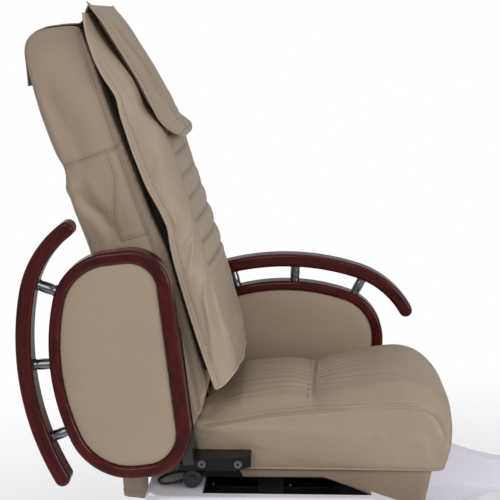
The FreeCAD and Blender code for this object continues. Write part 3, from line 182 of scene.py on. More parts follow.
# Chassis: a folded sheet-steel tray in gloss black paint, sunk into the deck on four legs.
# Two blackened steel slide rails are screwed to its floor.
edge_wear, given, result = effect("edge_wear", {"Width": 0.002}, ["Mask"])
rounded = add(edge_wear, "Bevel", {"Radius": given["Width"]}, samples=4)
true_normal = add(edge_wear, "NewGeometry").outputs["Normal"]
turned = add(edge_wear, "VectorMath", {0: rounded.outputs["Normal"], 1: true_normal}, operation="DOT_PRODUCT")
exposed = spread(edge_wear, turned.outputs["Value"], 0.98, 0.85)
rubbed = spread(edge_wear, noise(edge_wear, 45.0, 5.0), 0.45, 0.7)
worn = add(edge_wear, "Math", {0: exposed, 1: rubbed}, operation="MULTIPLY")
edge_wear.links.new(worn.outputs["Value"], result["Mask"])


def stain(tree, shader, share, colour):
    """Mixes a second colour over a finish's own."""
    body = shader.inputs["Base Color"].links[0].from_socket
    mixed = add(tree, "Mix", {"Factor": share, "A": body, "B": colour}, data_type="RGBA")
    tree.links.new(mixed.outputs["Result"], shader.inputs["Base Color"])


def painted_steel(name, colour, gloss, wear, skin_scale=400.0, skin_depth=0.00012, **options):
    """Black paint or powder coat that is rubbed paler at its edges."""
    material = coated(name, colour, gloss, skin_scale, skin_depth, **options)
    tree = material.node_tree
    rub = add(tree, "Group", {"Width": 0.0015}, node_tree=edge_wear)
    share = add(tree, "Math", {0: rub.outputs["Mask"], 1: wear}, operation="MULTIPLY")
    stain(tree, tree.nodes["Principled BSDF"], share.outputs["Value"], shade(120, 118, 116))
    return material


gloss_black = painted_steel("gloss_black_paint", shade(15, 15, 18), (0.05, 0.12), 0.3, 9.0, 0.004,
                            tone=(0.8, 1.2), fixed={"Coat Weight": 0.6, "Coat Roughness": 0.04})
dress(gloss_black, "base_frame")
soften(0.0015, "base_frame")
ground_steel = coated("ground_steel", shade(150, 150, 152), (0.2, 0.34), 1200.0, 0.00002, tone=(0.9, 1.1),
                      tone_scale=60.0, fixed={"Metallic": 1.0})
dress(ground_steel, "rail_screws", "slide_actuator_rod", "recline_shaft_right", "recline_shaft_left",
      "massage_guide_rods", "massage_screw", "massage_axle")
black_oxide = coated("black_oxide", shade(52, 52, 56), (0.28, 0.4), 700.0, 0.00001, tone=(0.92, 1.08), tone_scale=18.0,
                     fixed={"Metallic": 1.0})
dress(black_oxide, "guide_rail_right", "guide_rail_left")
soften(0.0006, "guide_rail_right", "guide_rail_left")

# Drives: the slide's motor and tube, the slide blocks, the recline gearmotor and its far cap, and the massage motor
# and carriage inside the back. All are moulded in grained black plastic and bolted to the steel.
housing = painted_steel("black_housing", shade(24, 24, 27), (0.3, 0.42), 0.15, 900.0, 0.00015, tone=(0.85, 1.15))
dress(housing, "slide_actuator", "guide_blocks", "recline_gearmotor", "pivot_cap_left", "massage_motor",
      "massage_carriage")
soften(0.001, "guide_blocks")

# Welded steel: the seat carriage, the seat frame and the back frame, made of box tube and plate,
# welded together and powder coated in satin black.
powder_coat = painted_steel("powder_coat", shade(22, 22, 25), (0.34, 0.46), 0.25)
dress(powder_coat, "carriage_frame", "seat_frame", "back_frame")
soften(0.0012, "carriage_frame", "seat_frame")

# Massage rollers: soft grey rubber wheels, each moulded in one piece and pressed on the axle
# of the massage head inside the back.
rubber = coated("roller_rubber", shade(70, 66, 62), (0.55, 0.7), 500.0, 0.0001)
dress(rubber, "massage_rollers")

# Arm brackets: cast blocks in charcoal powder coat, bolted under the seat's sides to carry the arms' hinges.
# Each is held by two bright screws with washers; a dark hex disc sunk in each socket is painted shade in its recess.
charcoal = painted_steel("charcoal_coat", shade(13, 13, 15), (0.3, 0.42), 0.3, 1100.0, 0.00015, tone=(0.85, 1.15),
                         tone_scale=20.0, fixed={"Specular IOR Level": 0.25})
dress(charcoal, "arm_bracket_right", "arm_bracket_left")
soften(0.0016, "arm_bracket_right", "arm_bracket_left")
socket_steel = coated("socket_steel", shade(112, 112, 116), (0.2, 0.32), 800.0, 0.00004, fixed={"Metallic": 1.0})
dress(socket_steel, "bracket_screws_right", "bracket_screws_left")
socket_shade_dark = coated("socket_shade_dark", shade(9, 9, 10), (0.5, 0.6), 800.0, 0.00004)


def new_piece(name, bm, material):
    """A smooth object from a bmesh."""
    mesh = bpy.data.meshes.new(name)
    bm.to_mesh(mesh)
    bm.free()
    mesh.shade_smooth()
    piece = bpy.data.objects.new(name, mesh)
    bpy.context.scene.collection.objects.link(piece)
    mesh.materials.append(material)
    return piece


def belong(body, slot, *pieces):
    """Rides pieces on a body; the slot argument is not used."""
    for piece in pieces:
        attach(piece, body)


# dark hex discs sunk in the screws' sockets: painted shade in the recesses
SCREW_PLACES, SCREW_HEIGHT = (-0.522, -0.441), 0.493
SOCKET_RADIUS, SOCKET_SINK = 0.0033, 0.001
for side, sign in (("right", -1), ("left", 1)):
    head_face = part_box(f"bracket_screws_{side}")[0 if sign < 0 else 1][1]
    bm = bmesh.new()
    for ahead in SCREW_PLACES:
        place = Matrix.Translation((ahead, head_face - sign * SOCKET_SINK, SCREW_HEIGHT))
        bmesh.ops.create_cone(bm, cap_ends=True, segments=6, radius1=SOCKET_RADIUS, radius2=SOCKET_RADIUS, depth=0.0012,
                              matrix=place @ Matrix.Rotation(math.pi / 2, 4, "X"))
    belong("carriage", "black_steel", new_piece(f"socket_shade_discs_{side}", bm, socket_shade_dark))

# Seat pan: a birch plywood board, sawn to the seat's outline and screwed on the seat frame.
# Its plies show as fine bands along the edge.
plywood, tree, shader = finish("birch_plywood", shade(196, 166, 122), (0.45, 0.6), tone=(0.85, 1.12), tone_scale=9.0)
spot = add(tree, "TexCoord").outputs["Object"]
plies = add(tree, "TexWave", {"Vector": spot, "Scale": 62.0, "Distortion": 0.6, "Detail": 2.0}, bands_direction="Z")
stain(tree, shader, plies.outputs["Fac"], shade(150, 112, 74))
relief(tree, shader, plies.outputs["Fac"], 0.0001)
dress(plywood, "seat_pan")

# Seat cushion: taupe leather over moulded foam, sewn from panels, with a gathered cross seam before the thigh roll,
# double-stitched side edges and piping round its foot.
leather_grain, given, result = effect("leather_grain", {"Scale": 620.0}, ["Height", "Pore"])
spot = add(leather_grain, "TexCoord").outputs["Object"]
drift = add(leather_grain, "TexNoise", {"Vector": spot, "Scale": 90.0, "Detail": 2.0})
pulled = add(leather_grain, "VectorMath", {0: drift.outputs["Color"], "Scale": 0.004}, operation="SCALE")
shifted = add(leather_grain, "VectorMath", {0: spot, 1: pulled.outputs["Vector"]}, operation="ADD")
pebbles = add(leather_grain, "TexVoronoi", {"Vector": shifted.outputs["Vector"], "Scale": given["Scale"]},
              feature="SMOOTH_F1")
dome = spread(leather_grain, pebbles.outputs["Distance"], 0.1, 0.75, 1.0, 0.0)
wrinkles = noise(leather_grain, 160.0, 6.0, 0.62)
skin = add(leather_grain, "Math", {0: wrinkles, 1: 0.8, 2: dome}, operation="MULTIPLY_ADD")
leather_grain.links.new(skin.outputs["Value"], result["Height"])
leather_grain.links.new(dome, result["Pore"])


def leather_finish(name, colour, gloss=(0.4, 0.52)):
    """Leather with a pebbled grain, slow changes of tone, and painted shade where the seam attribute marks seams,
    grooves and creases.
    """
    material, tree, shader = finish(name, colour, gloss, tone=(0.95, 1.05), tone_scale=4.0)
    grain = add(tree, "Group", {"Scale": 620.0}, node_tree=leather_grain)
    relief(tree, shader, grain.outputs["Height"], 0.00028)
    body = shader.inputs["Base Color"].links[0].from_socket
    pores = spread(tree, grain.outputs["Pore"], 0.0, 1.0, 0.9, 1.02)
    pored = add(tree, "HueSaturation", {"Value": pores, "Color": body})
    tree.links.new(pored.outputs["Color"], shader.inputs["Base Color"])
    # painted shade: the seam attribute darkens the leather towards shade(66, 54, 44)
    drawn = add(tree, "Attribute", attribute_name="seam").outputs["Fac"]
    stain(tree, shader, spread(tree, drawn, 0.0, 1.0, 0.0, 0.55), shade(66, 54, 44))
    return material


leather = leather_finish("taupe_leather", shade(163, 145, 126))
thread = coated("waxed_thread", shade(118, 102, 86), (0.5, 0.65), 2500.0, 0.0002)


def array_of(items, key):
    """One vector of each item, as the rows of an array."""
    flat = np.empty(3 * len(items), np.float32)
    items.foreach_get(key, flat)
    return flat.reshape(-1, 3).astype(float)


def points_of(piece):
    """A piece's points as an array, in metres."""
    return array_of(piece.data.vertices, "co")


def normals_of(piece):
    """The normals at a piece's points."""
    return array_of(piece.data.vertex_normals, "vector")


def put_points(piece, points):
    """Moves a piece's points."""
    piece.data.vertices.foreach_set("co", np.asarray(points, np.float32).ravel())
    piece.data.update()


def settle(piece):
    """Makes a piece's modifiers final."""
    depsgraph = bpy.context.evaluated_depsgraph_get()
    mesh = bpy.data.meshes.new_from_object(piece.evaluated_get(depsgraph), depsgraph=depsgraph)
    piece.modifiers.clear()
    old = piece.data
    piece.data = mesh
    mesh.name = old.name
    bpy.data.meshes.remove(old)
    mesh.shade_smooth()


def remesh(piece, voxel):
    """Even quads all over a padded piece."""
    even = piece.modifiers.new("even", "REMESH")
    even.mode = "VOXEL"
    even.voxel_size = voxel
    settle(piece)


def soft_copy(name, node, voxel, material):
    """A padded piece that starts from a packed soft solid."""
    bm = bmesh.new()
    bm.from_mesh(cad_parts[node].data)
    bmesh.ops.remove_doubles(bm, verts=bm.verts, dist=2e-5)
    piece = new_piece(name, bm, material)
    remesh(piece, voxel)
    return piece


def swell(piece, cap, held, pressure=4.0):
    """Blows a padded piece up by a short cloth simulation; held points stay, and none moves further than the cap."""
    rest = points_of(piece)
    group = piece.vertex_groups.new(name="held")
    group.add([int(index) for index in np.nonzero(held)[0]], 1.0, "REPLACE")
    cloth = piece.modifiers.new("swell", "CLOTH")
    cloth.settings.quality = 4
    cloth.settings.use_pressure = True
    cloth.settings.uniform_pressure_force = pressure
    cloth.settings.effector_weights.gravity = 0.0
    cloth.settings.vertex_group_mass = "held"
    scene = bpy.context.scene
    for number in range(1, 21):
        scene.frame_set(number)
    moved = points_of(piece.evaluated_get(bpy.context.evaluated_depsgraph_get()))
    piece.modifiers.clear()
    piece.vertex_groups.clear()
    scene.frame_set(1)
    step = moved - rest
    far = np.linalg.norm(step, axis=1, keepdims=True)
    put_points(piece, rest + step * np.minimum(1.0, cap / np.maximum(far, 1e-9)))


def refine(piece):
    """One round of subdivision."""
    finer = piece.modifiers.new("finer", "SUBSURF")
    finer.levels = finer.render_levels = 1
    settle(piece)


def ramp(value, start, end):
    """A smooth step from 0 at start to 1 at end."""
    share = np.clip((value - start) / (end - start), 0, 1)
    return share * share * (3 - 2 * share)


def bell(value, width):
    """A smooth hump of height 1."""
    return np.exp(-(value / width) ** 2)


def near_path(points, path):
    """Each point's distance to a polyline, and how far along it the nearest place lies, from 0 to 1."""
    path = np.array(path, float)
    spans = np.linalg.norm(np.diff(path, axis=0), axis=1)
    gap = np.full(len(points), 1e9)
    along = np.zeros(len(points))
    done = 0.0
    for start, end, span in zip(path, path[1:], spans):
        run = end - start
        share = np.clip((points - start) @ run / span ** 2, 0, 1)
        far = np.linalg.norm(points - start - share[:, None] * run, axis=1)
        closer = far < gap
        gap[closer] = far[closer]
        along[closer] = (done + share[closer] * span) / spans.sum()
        done += span
    return gap, along


def folds(places, paths, margin, power):
    """Soft folds along polylines, faded at their ends: the height in all, and how deep in a crease each point is, for
    painted crease shade.
    """
    rise, crease_shade = np.zeros(len(places)), np.zeros(len(places))
    for path, height, width in paths:
        gap, share = near_path(places, path)
        fold = bell(gap, width) * np.sin(np.pi * np.clip(share, margin, 1 - margin)) ** power
        rise += height * fold
        if height < 0:
            crease_shade = np.maximum(crease_shade, fold)
    return rise, crease_shade


def paint_seam_shade(piece, depth):
    """Keeps how much painted shade each point gets, in seams, grooves and creases, for the leather's darker lines."""
    seam = piece.data.attributes.new("seam", "FLOAT", "POINT")
    seam.data.foreach_set("value", np.clip(depth, 0, 1).astype(np.float32))


def measured(path):
    """A polyline as an array, and how far along it each of its points lies."""
    path = np.array(path, float)
    return path, np.concatenate([[0], np.cumsum(np.linalg.norm(np.diff(path, axis=0), axis=1))])


def spaced(path, pitch):
    """Points at an even pitch along a polyline."""
    path, steps = measured(path)
    stops = np.arange(pitch / 2, steps[-1], pitch)
    return np.stack([np.interp(stops, steps, column) for column in path.T], 1)


def skin_of(piece):
    """A piece's surface, for laying details on it."""
    return BVHTree.FromPolygons([vertex.co for vertex in piece.data.vertices],
                                [polygon.vertices for polygon in piece.data.polygons])


def stitch_rows(name, rows, piece, pitch=0.0062, length=0.0042, girth=0.0007):
    """Rows of thread stitches laid on a piece's surface."""
    skin = skin_of(piece)
    bm = bmesh.new()
    for row in rows:
        stops = [skin.find_nearest(Vector(point)) for point in spaced(row, pitch)]
        for (here, normal, _, _), (there, _, _, _) in zip(stops, stops[1:]):
            if (there - here).length < 0.3 * pitch:
                continue
            lie = (there - here).normalized()
            side = normal.cross(lie).normalized()
            turn = Matrix((lie * length / 2, side * girth, normal * girth)).transposed().to_4x4()
            spot = Matrix.Translation(here + normal * 0.0003) @ turn
            bmesh.ops.create_icosphere(bm, subdivisions=1, radius=1.0, matrix=spot)
    return new_piece(name, bm, thread)


def round_curve(name, paths, radius, rounding, kind):
    """A round bar along one or more paths."""
    curve = bpy.data.curves.new(name, "CURVE")
    curve.dimensions = "3D"
    curve.bevel_depth = radius
    curve.bevel_resolution = rounding
    curve.use_fill_caps = True
    for path in paths:
        line = curve.splines.new(kind)
        line.points.add(len(path) - 1)
        for point, where in zip(line.points, path):
            point.co = (*where, 1.0)
    return curve


def bead(name, paths, radius, material):
    """Round piping, or a fine dark line of painted seam shade, along one or more paths."""
    rod = bpy.data.objects.new(name, round_curve(name, paths, radius, 3, "POLY"))
    mesh = bpy.data.meshes.new_from_object(rod)
    bpy.data.objects.remove(rod)
    mesh.shade_smooth()
    mesh.materials.clear()
    mesh.materials.append(material)
    piece = bpy.data.objects.new(name, mesh)
    bpy.context.scene.collection.objects.link(piece)
    return piece


def laid_on(piece, rows, sink, pitch=0.006):
    """Rows of points moved straight across the chair onto a piece's side, and a little into it."""
    skin = skin_of(piece)
    laid = []
    for row in rows:
        found = [skin.ray_cast(Vector(point), Vector((0, -point[1], 0))) for point in spaced(row, pitch)]
        laid.append([here - normal * sink for here, normal, _, _ in found if here is not None])
    return laid


seam_shadow = leather_finish("seam_shadow", shade(112, 97, 82), (0.6, 0.7))
seat = soft_copy("seat_leather", "seat_cushion", 0.0062, leather)
x, y, z = points_of(seat).T * 1000
swell(seat, 0.0022, ((np.abs(y) < 220) & (x < 7) & (z < 523)) | (z < 474) | (x < -505) |
      ((np.abs(z - 493) < 20) & (x < -415)))
refine(seat)
# the rear corners are drawn out under the bolster, and the foot is pulled down over the pan's edge
spots = points_of(seat) * 1000
x, y, z = spots.T
drawn = (30 + 5 * ramp(z, 515, 550)) * ramp(np.abs(y), 196, 226) * ramp(x, -470, -508) * ramp(z, 488, 508)
drawn = np.maximum(drawn, 22 * ramp(np.abs(y), 90, 150) * ramp(x, -440, -508) * ramp(z, 540, 556))
spots -= np.stack([drawn, 0 * x, 12 * ramp(z, 508, 476)], 1)
put_points(seat, spots / 1000)
# the top is stuffed high between the side seams, and less along the cross seam
facing = normals_of(seat)
x, y, z = spots.T
stuffing = np.interp(x, [-510, -435, -340, -267, -190, -110, -24, 20, 50], [9, 17, 15, 8, 11, 17, 22, 20, 11])
stuffing *= ramp(np.abs(y), 232, 176) * ramp(z, 500, 580)
stuffing *= np.maximum(ramp(facing[:, 2], 0.1, 0.5), ramp(facing[:, 0], 0.2, 0.6))
spots += facing * stuffing[:, None]
put_points(seat, spots / 1000)
facing = normals_of(seat)
x, y, z = spots.T
on_top = ramp(facing[:, 2], 0.15, 0.5) * ramp(z, 530, 560)
# cross seam with gathers on both sides
CROSS_SEAM_X, CROSS_SEAM_SLANT = -267, 0.03
from_seam = x - (CROSS_SEAM_X + CROSS_SEAM_SLANT * y)
seam_reach = ramp(np.abs(y), 185, 140)
gather_reach = ramp(np.abs(y), 175, 120)
valley = -8 * bell(from_seam, 34) - 2.4 * bell(from_seam, 3.6)
wander = 6 * np.sin(x / 41 + 0.6) + 4 * np.sin(x / 23 + y / 60)
behind, ahead = np.clip(-from_seam, 0, None), np.clip(from_seam, 0, None)
rear_puffs = np.abs(np.sin(np.pi * (y / (1 + behind / 1400) + 0.5 * wander * ramp(behind, 5, 60)) / 31)) ** 0.6 - 0.6
front_puffs = np.abs(np.sin(np.pi * (y / (1 + ahead / 300) + 0.4 * wander * ramp(ahead, 5, 60)) / 27)) ** 0.6 - 0.6
uneven = 0.7 + 0.3 * np.sin(y / 23.0 + 0.8)
rear_fade = np.exp(-behind / 130) * ramp(behind, 230, 120) * ramp(behind, 0, 6)
front_fade = np.exp(-ahead / 85) * ramp(ahead, 0, 6)
gathers = np.where(from_seam < 0, 5 * rear_puffs * rear_fade, 7.5 * front_puffs * front_fade) * uneven * gather_reach
rise = (valley * ramp(np.abs(y), 228, 150) + gathers) * on_top
# painted shade along the cross seam
painted_seam_shade = 0.6 * bell(from_seam, 3.2) * seam_reach * on_top
# slack creases from the rear and over the nose
over_nose = np.maximum(on_top, ramp(facing[:, 0], 0.3, 0.6) * ramp(z, 478, 500))
CREASES = [
    ([(-505, -168), (-420, -160), (-340, -150)], 1.8, 5), ([(-500, -60), (-430, -66), (-350, -58)], -1.2, 9),
    ([(-500, 40), (-420, 52), (-340, 46)], 1.4, 9), ([(-490, 150), (-410, 140), (-330, 146)], 1.4, 9),
    ([(-180, -118), (-60, -128), (30, -124)], -1.6, 8), ([(-190, 20), (-80, 10), (30, 16)], -1.4, 9),
    ([(-200, 128), (-90, 134), (25, 130)], 1.6, 8), ([(-60, -60), (10, -64), (45, -60)], 1.3, 8),
    ([(-90, 70), (0, 78), (42, 74)], -1.3, 9)
]
rise += folds(spots[:, :2], CREASES, 0.03, 0.7)[0] * over_nose
# double-stitched side edges
SIDE_SEAM = [
    (-522, 563), (-487, 568), (-452, 574), (-399, 584), (-365, 590), (-269, 599), (-160, 608), (-95, 612), (-45, 612),
    (-16, 604), (6, 590), (19, 572), (27, 548), (32, 520)
]
side_faces = ramp(np.abs(y), 205, 222)
gap, share = near_path(spots[:, [0, 2]], SIDE_SEAM)
fading = ramp(share, 1.0, 0.86)
rise += (-1.5 * bell(gap, 4) + 1.1 * bell(gap - 9, 5)) * side_faces * fading
# painted shade along the side seams
painted_seam_shade = np.maximum(painted_seam_shade, 0.35 * bell(gap, 2.6) * side_faces * fading)
# slack leather low on the sides and on the nose
rise += 0.8 * np.sin(x / 37 + z / 19) * bell(z - 520, 28) * side_faces * ramp(x, -120, -60)
rise += 0.7 * np.sin(z / 8.5 + y / 70) * ramp(facing[:, 0], 0.5, 0.8) * bell(z - 500, 26)
put_points(seat, (spots + facing * rise[:, None]) / 1000)
paint_seam_shade(seat, painted_seam_shade)
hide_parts("seat_cushion")

SEAM_OFFSET = 6
side_rows = [[(px / 1000, side * 0.29, (pz + lift) / 1000) for px, pz in SIDE_SEAM]
             for side in (-1, 1) for lift in (-SEAM_OFFSET, SEAM_OFFSET)]
cross_row = [((CROSS_SEAM_X + CROSS_SEAM_SLANT * py - SEAM_OFFSET) / 1000, py / 1000, 0.66)
             for py in range(-205, 206, 15)]
seat_stitches = stitch_rows("seat_stitches", laid_on(seat, side_rows, 0.0) + [cross_row], seat)

# the piping's places are found by looking in at the cushion from all round it
PIPING_HEIGHT = 0.4632
LOOK_AHEAD, LOOK_ASIDE = 0.1, 0.3
right_side = [(px / 1000, -LOOK_ASIDE) for px in (*range(-500, 1, 20), 22)]
front_side = [(LOOK_AHEAD, py / 1000) for py in (-240, *range(-220, 221, 20), 240)]
skin = skin_of(seat)
piping_path = []
for px, py in right_side + front_side + [(px, -py) for px, py in reversed(right_side)]:
    start = Vector((px, py, PIPING_HEIGHT))
    inner = (-0.02, py * 0.93) if px == LOOK_AHEAD else (min(px, 0.0), 0)
    middle = Vector((*inner, PIPING_HEIGHT))
    found = skin.ray_cast(start, middle - start)
    if found[0] is not None:
        piping_path.append(found[0] + found[1] * 0.0008)
seat_piping = bead("seat_piping", [piping_path], 0.0028, leather)
belong("carriage", "leather", seat, seat_stitches, seat_piping)

# Seat valance: a leather skirt sewn under the cushion's sides and front and cut to the base's slope.
def sheet_piece(name, across, along, shape, thick, material):
    """A sheet of leather: a grid put in place by a function of two shares from 0 to 1, given its thickness."""
    bm = bmesh.new()
    bmesh.ops.create_grid(bm, x_segments=across, y_segments=along, size=0.5)
    piece = new_piece(name, bm, material)
    shares = points_of(piece) + 0.5
    put_points(piece, shape(shares[:, 0], shares[:, 1]))
    wall = piece.modifiers.new("wall", "SOLIDIFY")
    wall.thickness = thick
    wall.offset = 0.0
    settle(piece)
    return piece


def path_at(path, share):
    """Points at shares of a polyline's length."""
    path, steps = measured(path)
    return [np.interp(share * steps[-1], steps, column) for column in path.T]


SKIRT_REAR, SKIRT_FRONT, SKIRT_HALF_WIDTH, SKIRT_CORNER, SKIRT_TOP = -444, 2, 229, 10, 466


def valance(share, down):
    """Puts the skirt's grid in place: round the seat's sides and front, and down to its cut edge."""
    centre_x, centre_y = SKIRT_FRONT - SKIRT_CORNER, SKIRT_CORNER - SKIRT_HALF_WIDTH
    corner = [(centre_x + SKIRT_CORNER * math.sin(turn), centre_y - SKIRT_CORNER * math.cos(turn))
              for turn in np.linspace(0, math.pi / 2, 5)]
    half = [(SKIRT_REAR, -SKIRT_HALF_WIDTH), *corner]
    top_x, top_y = path_at(half + [(px, -py) for px, py in reversed(half)], share)
    cut = np.interp(top_x, [SKIRT_REAR, -432, -247, -20, SKIRT_FRONT], [463, 439, 440, 364, 361])
    front = ramp(np.abs(top_y), 224, 212)
    side = np.sign(top_y) * (1 - front)
    z = SKIRT_TOP + (cut - SKIRT_TOP) * down
    x = top_x - 22 * down * ramp(top_x, -260, 0)
    wave = (2.2 * np.sin(share * 61) + 1.4 * np.sin(share * 113 + 2 * down)) * down * ramp(465 - cut, 30, 90)
    return np.stack([x + wave * front, top_y + side * wave, z], 1) / 1000


# a darker copy of the taupe leather: painted shade on the skirt under the seat's overhang; the apron behind the base
# uses it too
shade_darkened_leather = leather_finish("shade_darkened_leather", shade(150, 132, 114))
skirt = sheet_piece("seat_valance", 220, 16, valance, 0.0026, shade_darkened_leather)
skirt_row = valance(np.linspace(0.01, 0.99, 160), np.full(160, 0.9))
skirt_stitches = stitch_rows("valance_stitches", [skirt_row * [1.02, 1.02, 1]], skirt)
belong("carriage", "leather", skirt, skirt_stitches)
for piece in (skirt, skirt_stitches):
    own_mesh(piece)
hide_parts("seat_skirt")

# Motor lead: a short black rubber flex that loops out behind the gearmotor and back into the carriage,
# with a ribbed strain-relief boot at each end.
lead_rubber = coated("flex_rubber", shade(17, 17, 19), (0.4, 0.55), 800.0, 0.0001)
LEAD_ROUTE = [
    (-568, -286, 447), (-589, -286, 442), (-607.5, -281.5, 438), (-621, -268, 436), (-626, -249.5, 435.5),
    (-621, -231, 436), (-607.5, -217, 438.5), (-589, -212, 443), (-568, -212, 448)
]
flex = round_curve("motor_flex", [[Vector(where) / 1000 for where in LEAD_ROUTE]], 0.003, 4, "NURBS")
flex.resolution_u = 16
flex.splines[0].order_u = 3
flex.splines[0].use_endpoint_u = True
flex.materials.append(lead_rubber)
lead = bpy.data.objects.new("motor_flex", flex)
bpy.context.scene.collection.objects.link(lead)
BOOT_LENGTH, BOOT_RINGS, BOOT_GROOVE = 0.016, 8, 0.86
boots = []
for label, first, second in (("motor", LEAD_ROUTE[0], LEAD_ROUTE[1]), ("frame", LEAD_ROUTE[-1], LEAD_ROUTE[-2])):
    start, aim = Vector(first) / 1000, (Vector(second) - Vector(first)).normalized()
    bm = bmesh.new()
    bmesh.ops.create_cone(bm, cap_ends=True, segments=20, radius1=0.0052, radius2=0.0036, depth=BOOT_LENGTH)
    lengthwise = [edge for edge in bm.edges if abs(edge.verts[0].co.z - edge.verts[1].co.z) > 0.01]
    bmesh.ops.subdivide_edges(bm, edges=lengthwise, cuts=BOOT_RINGS - 1)
    for vertex in bm.verts:
        ring = round((vertex.co.z / BOOT_LENGTH + 0.5) * BOOT_RINGS)
        if ring % 2:
            vertex.co.x *= BOOT_GROOVE
            vertex.co.y *= BOOT_GROOVE
    turn = aim.to_track_quat("Z", "Y").to_matrix().to_4x4()
    bmesh.ops.transform(bm, matrix=Matrix.Translation(start + aim * BOOT_LENGTH / 2) @ turn, verts=bm.verts)
    boots.append(new_piece(f"flex_boot_{label}", bm, lead_rubber))
belong("carriage", "lead_sheath", lead, *boots)
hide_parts("motor_lead")

# Back bolster: a leaning foam block in a fitted leather cover, with a border strip along its front edge, a cross seam
# where the loose lower cover is drawn over the upper one, and a shaped side panel below it.
LEAN = math.radians(17.04)
AXIS_X, AXIS_Z = -605, 720


def on_back(ahead, across, along):
    """Points given ahead of the back's axis, across the chair and along the axis, in millimetres."""
    x = AXIS_X + ahead * math.cos(LEAN) - along * math.sin(LEAN)
    z = AXIS_Z + ahead * math.sin(LEAN) + along * math.cos(LEAN)
    return np.stack([x, across + 0 * x, z], 1) / 1000


def back_places(points):
    """The same three measures for points in metres."""
    x, y, z = points.T * 1000
    x, z = x - AXIS_X, z - AXIS_Z
    return x * math.cos(LEAN) + z * math.sin(LEAN), y, z * math.cos(LEAN) - x * math.sin(LEAN)


BACK_HALF_WIDTH = 234
FRONT_LINE = [
    (-40, -228), (-8, -190), (20, -161), (36, -146), (52, -117), (66, -92), (70, -77), (69, -24), (72, 72), (74, 174),
    (75, 237), (70, 280), (65, 320), (59, 419), (53, 517), (48, 588), (46, 687), (42, 745)
]
TOP_LINE = [
    (38, 763), (20, 772), (2, 776), (-34, 782), (-60, 780), (-78, 773), (-90, 761), (-96, 744)
]
REAR_LINE = [
    (-98, 680), (-101, 611), (-99, 540), (-95, 486), (-96, 430), (-97, 400), (-96, 348), (-95, 291), (-94, 200),
    (-97, 100), (-101, 0), (-105, -100), (-108, -205)
]
outline = np.array(FRONT_LINE + TOP_LINE + REAR_LINE, float)
bm = bmesh.new()
corners = on_back(outline[:, 0], -float(BACK_HALF_WIDTH), outline[:, 1])
side = bm.faces.new([bm.verts.new(point) for point in corners])
grown = bmesh.ops.extrude_face_region(bm, geom=[side])
far_side = [item for item in grown["geom"] if isinstance(item, bmesh.types.BMVert)]
bmesh.ops.translate(bm, vec=(0, 2 * BACK_HALF_WIDTH / 1000, 0), verts=far_side)
bmesh.ops.recalc_face_normals(bm, faces=bm.faces)
for at_rear, width in ((True, 0.022), (False, 0.007)):
    rims = []
    for edge in bm.edges:
        ends = np.array([corner.co for corner in edge.verts])
        ahead = back_places(ends)[0]
        flush = abs(abs(ends[0, 1]) - BACK_HALF_WIDTH / 1000) < 1e-6 and abs(ends[0, 1] - ends[1, 1]) < 1e-6
        if flush and (max(ahead) < -50) == at_rear:
            rims.append(edge)
    bmesh.ops.bevel(bm, geom=rims, offset=width, segments=4, profile=0.5, material=-1, affect="EDGES",
                    clamp_overlap=True)
bolster = new_piece("back_bolster", bm, leather)
remesh(bolster, 0.008)
ahead, across, along = back_places(points_of(bolster))
swell(bolster, 0.006, (np.abs(across) > 228) & (ahead > 38) | (along < -150) | (along > 735) | (ahead > 62))
refine(bolster)
spots = points_of(bolster)
facing = normals_of(bolster)
ahead, across, along = back_places(spots)
on_side = ramp(np.abs(facing[:, 1]), 0.35, 0.75)
on_rear = ramp(-facing[:, 0], 0.2, 0.6)
flat_spots = np.stack([ahead, along], 1)
rise = np.zeros(len(spots))
painted_seam_shade = np.zeros(len(spots))
CROSS_SEAM = [(-130, 479), (-88, 482), (-26, 485), (10, 488), (46, 490)]
BORDER_SEAM = [
    (34, 758), (34, 719), (34, 650), (35, 544), (36, 490), (38, 387), (42, 285), (50, 150), (51, 44), (45, -23),
    (39, -79), (33, -138)
]
CURVED_SEAM = [(9, 484), (12.8, 459), (13.5, 429), (1.5, 388), (-14.5, 346), (-18.5, 311), (-20, 284)]
LOW_SEAM = [(-20, 284), (12, 283), (45, 283)]
for path, depth in ((CROSS_SEAM, 1.6), (BORDER_SEAM, 1.2), (CURVED_SEAM, 0.9), (LOW_SEAM, 1.2)):
    gap, _ = near_path(flat_spots, path)
    rise += (-depth * bell(gap, 5) + 0.6 * bell(gap - 10, 6)) * on_side
    # painted shade along the seams
    painted_seam_shade = np.maximum(painted_seam_shade, 0.22 * bell(gap, 4) * on_side)
# the lower cover's edge stands proud of the upper one
rise += 2.4 * ramp(along, 485, 478) * ramp(along, 300, 470) * on_side * ramp(ahead, 44, 30)
rise += (5 * bell(along - 428, 15) - 5 * bell(along - 474, 22)) * np.maximum(on_rear, on_side * ramp(ahead, -62, -88))
# painted shade along the lower cover's edge on the rear
painted_seam_shade = np.maximum(painted_seam_shade, 0.3 * bell(along - 481, 4) * on_rear)
# soft folds that run down the lower cover
FOLDS = [
    ([(-84, 440), (-66, 384), (-42, 350), (-30, 319), (-25, 290)], -6, 12),
    ([(-50, 462), (-40, 405), (-22, 366)], 3, 13), ([(-86, 392), (-66, 345), (-54, 300), (-56, 240)], 4, 13),
    ([(24, 470), (26, 420), (16, 370), (12, 300)], 1.6, 10), ([(-64, 700), (-70, 620), (-66, 540)], -1.2, 18),
    ([(0, 660), (4, 580), (2, 510)], 1.0, 24), ([(30, 250), (26, 150), (18, 40), (12, -70)], 2.0, 16),
    ([(-20, 250), (-26, 140), (-16, 20)], -2.0, 18)
]
rise += folds(flat_spots, FOLDS, 0.04, 0.6)[0] * on_side
# creases in the rear face
rise += 1.6 * np.sin(along / 31 + 2 * np.sin(across / 90)) * np.sin(across / 77 + 1) * ramp(along, 480, 380) * on_rear
put_points(bolster, spots + facing * rise[:, None] / 1000)
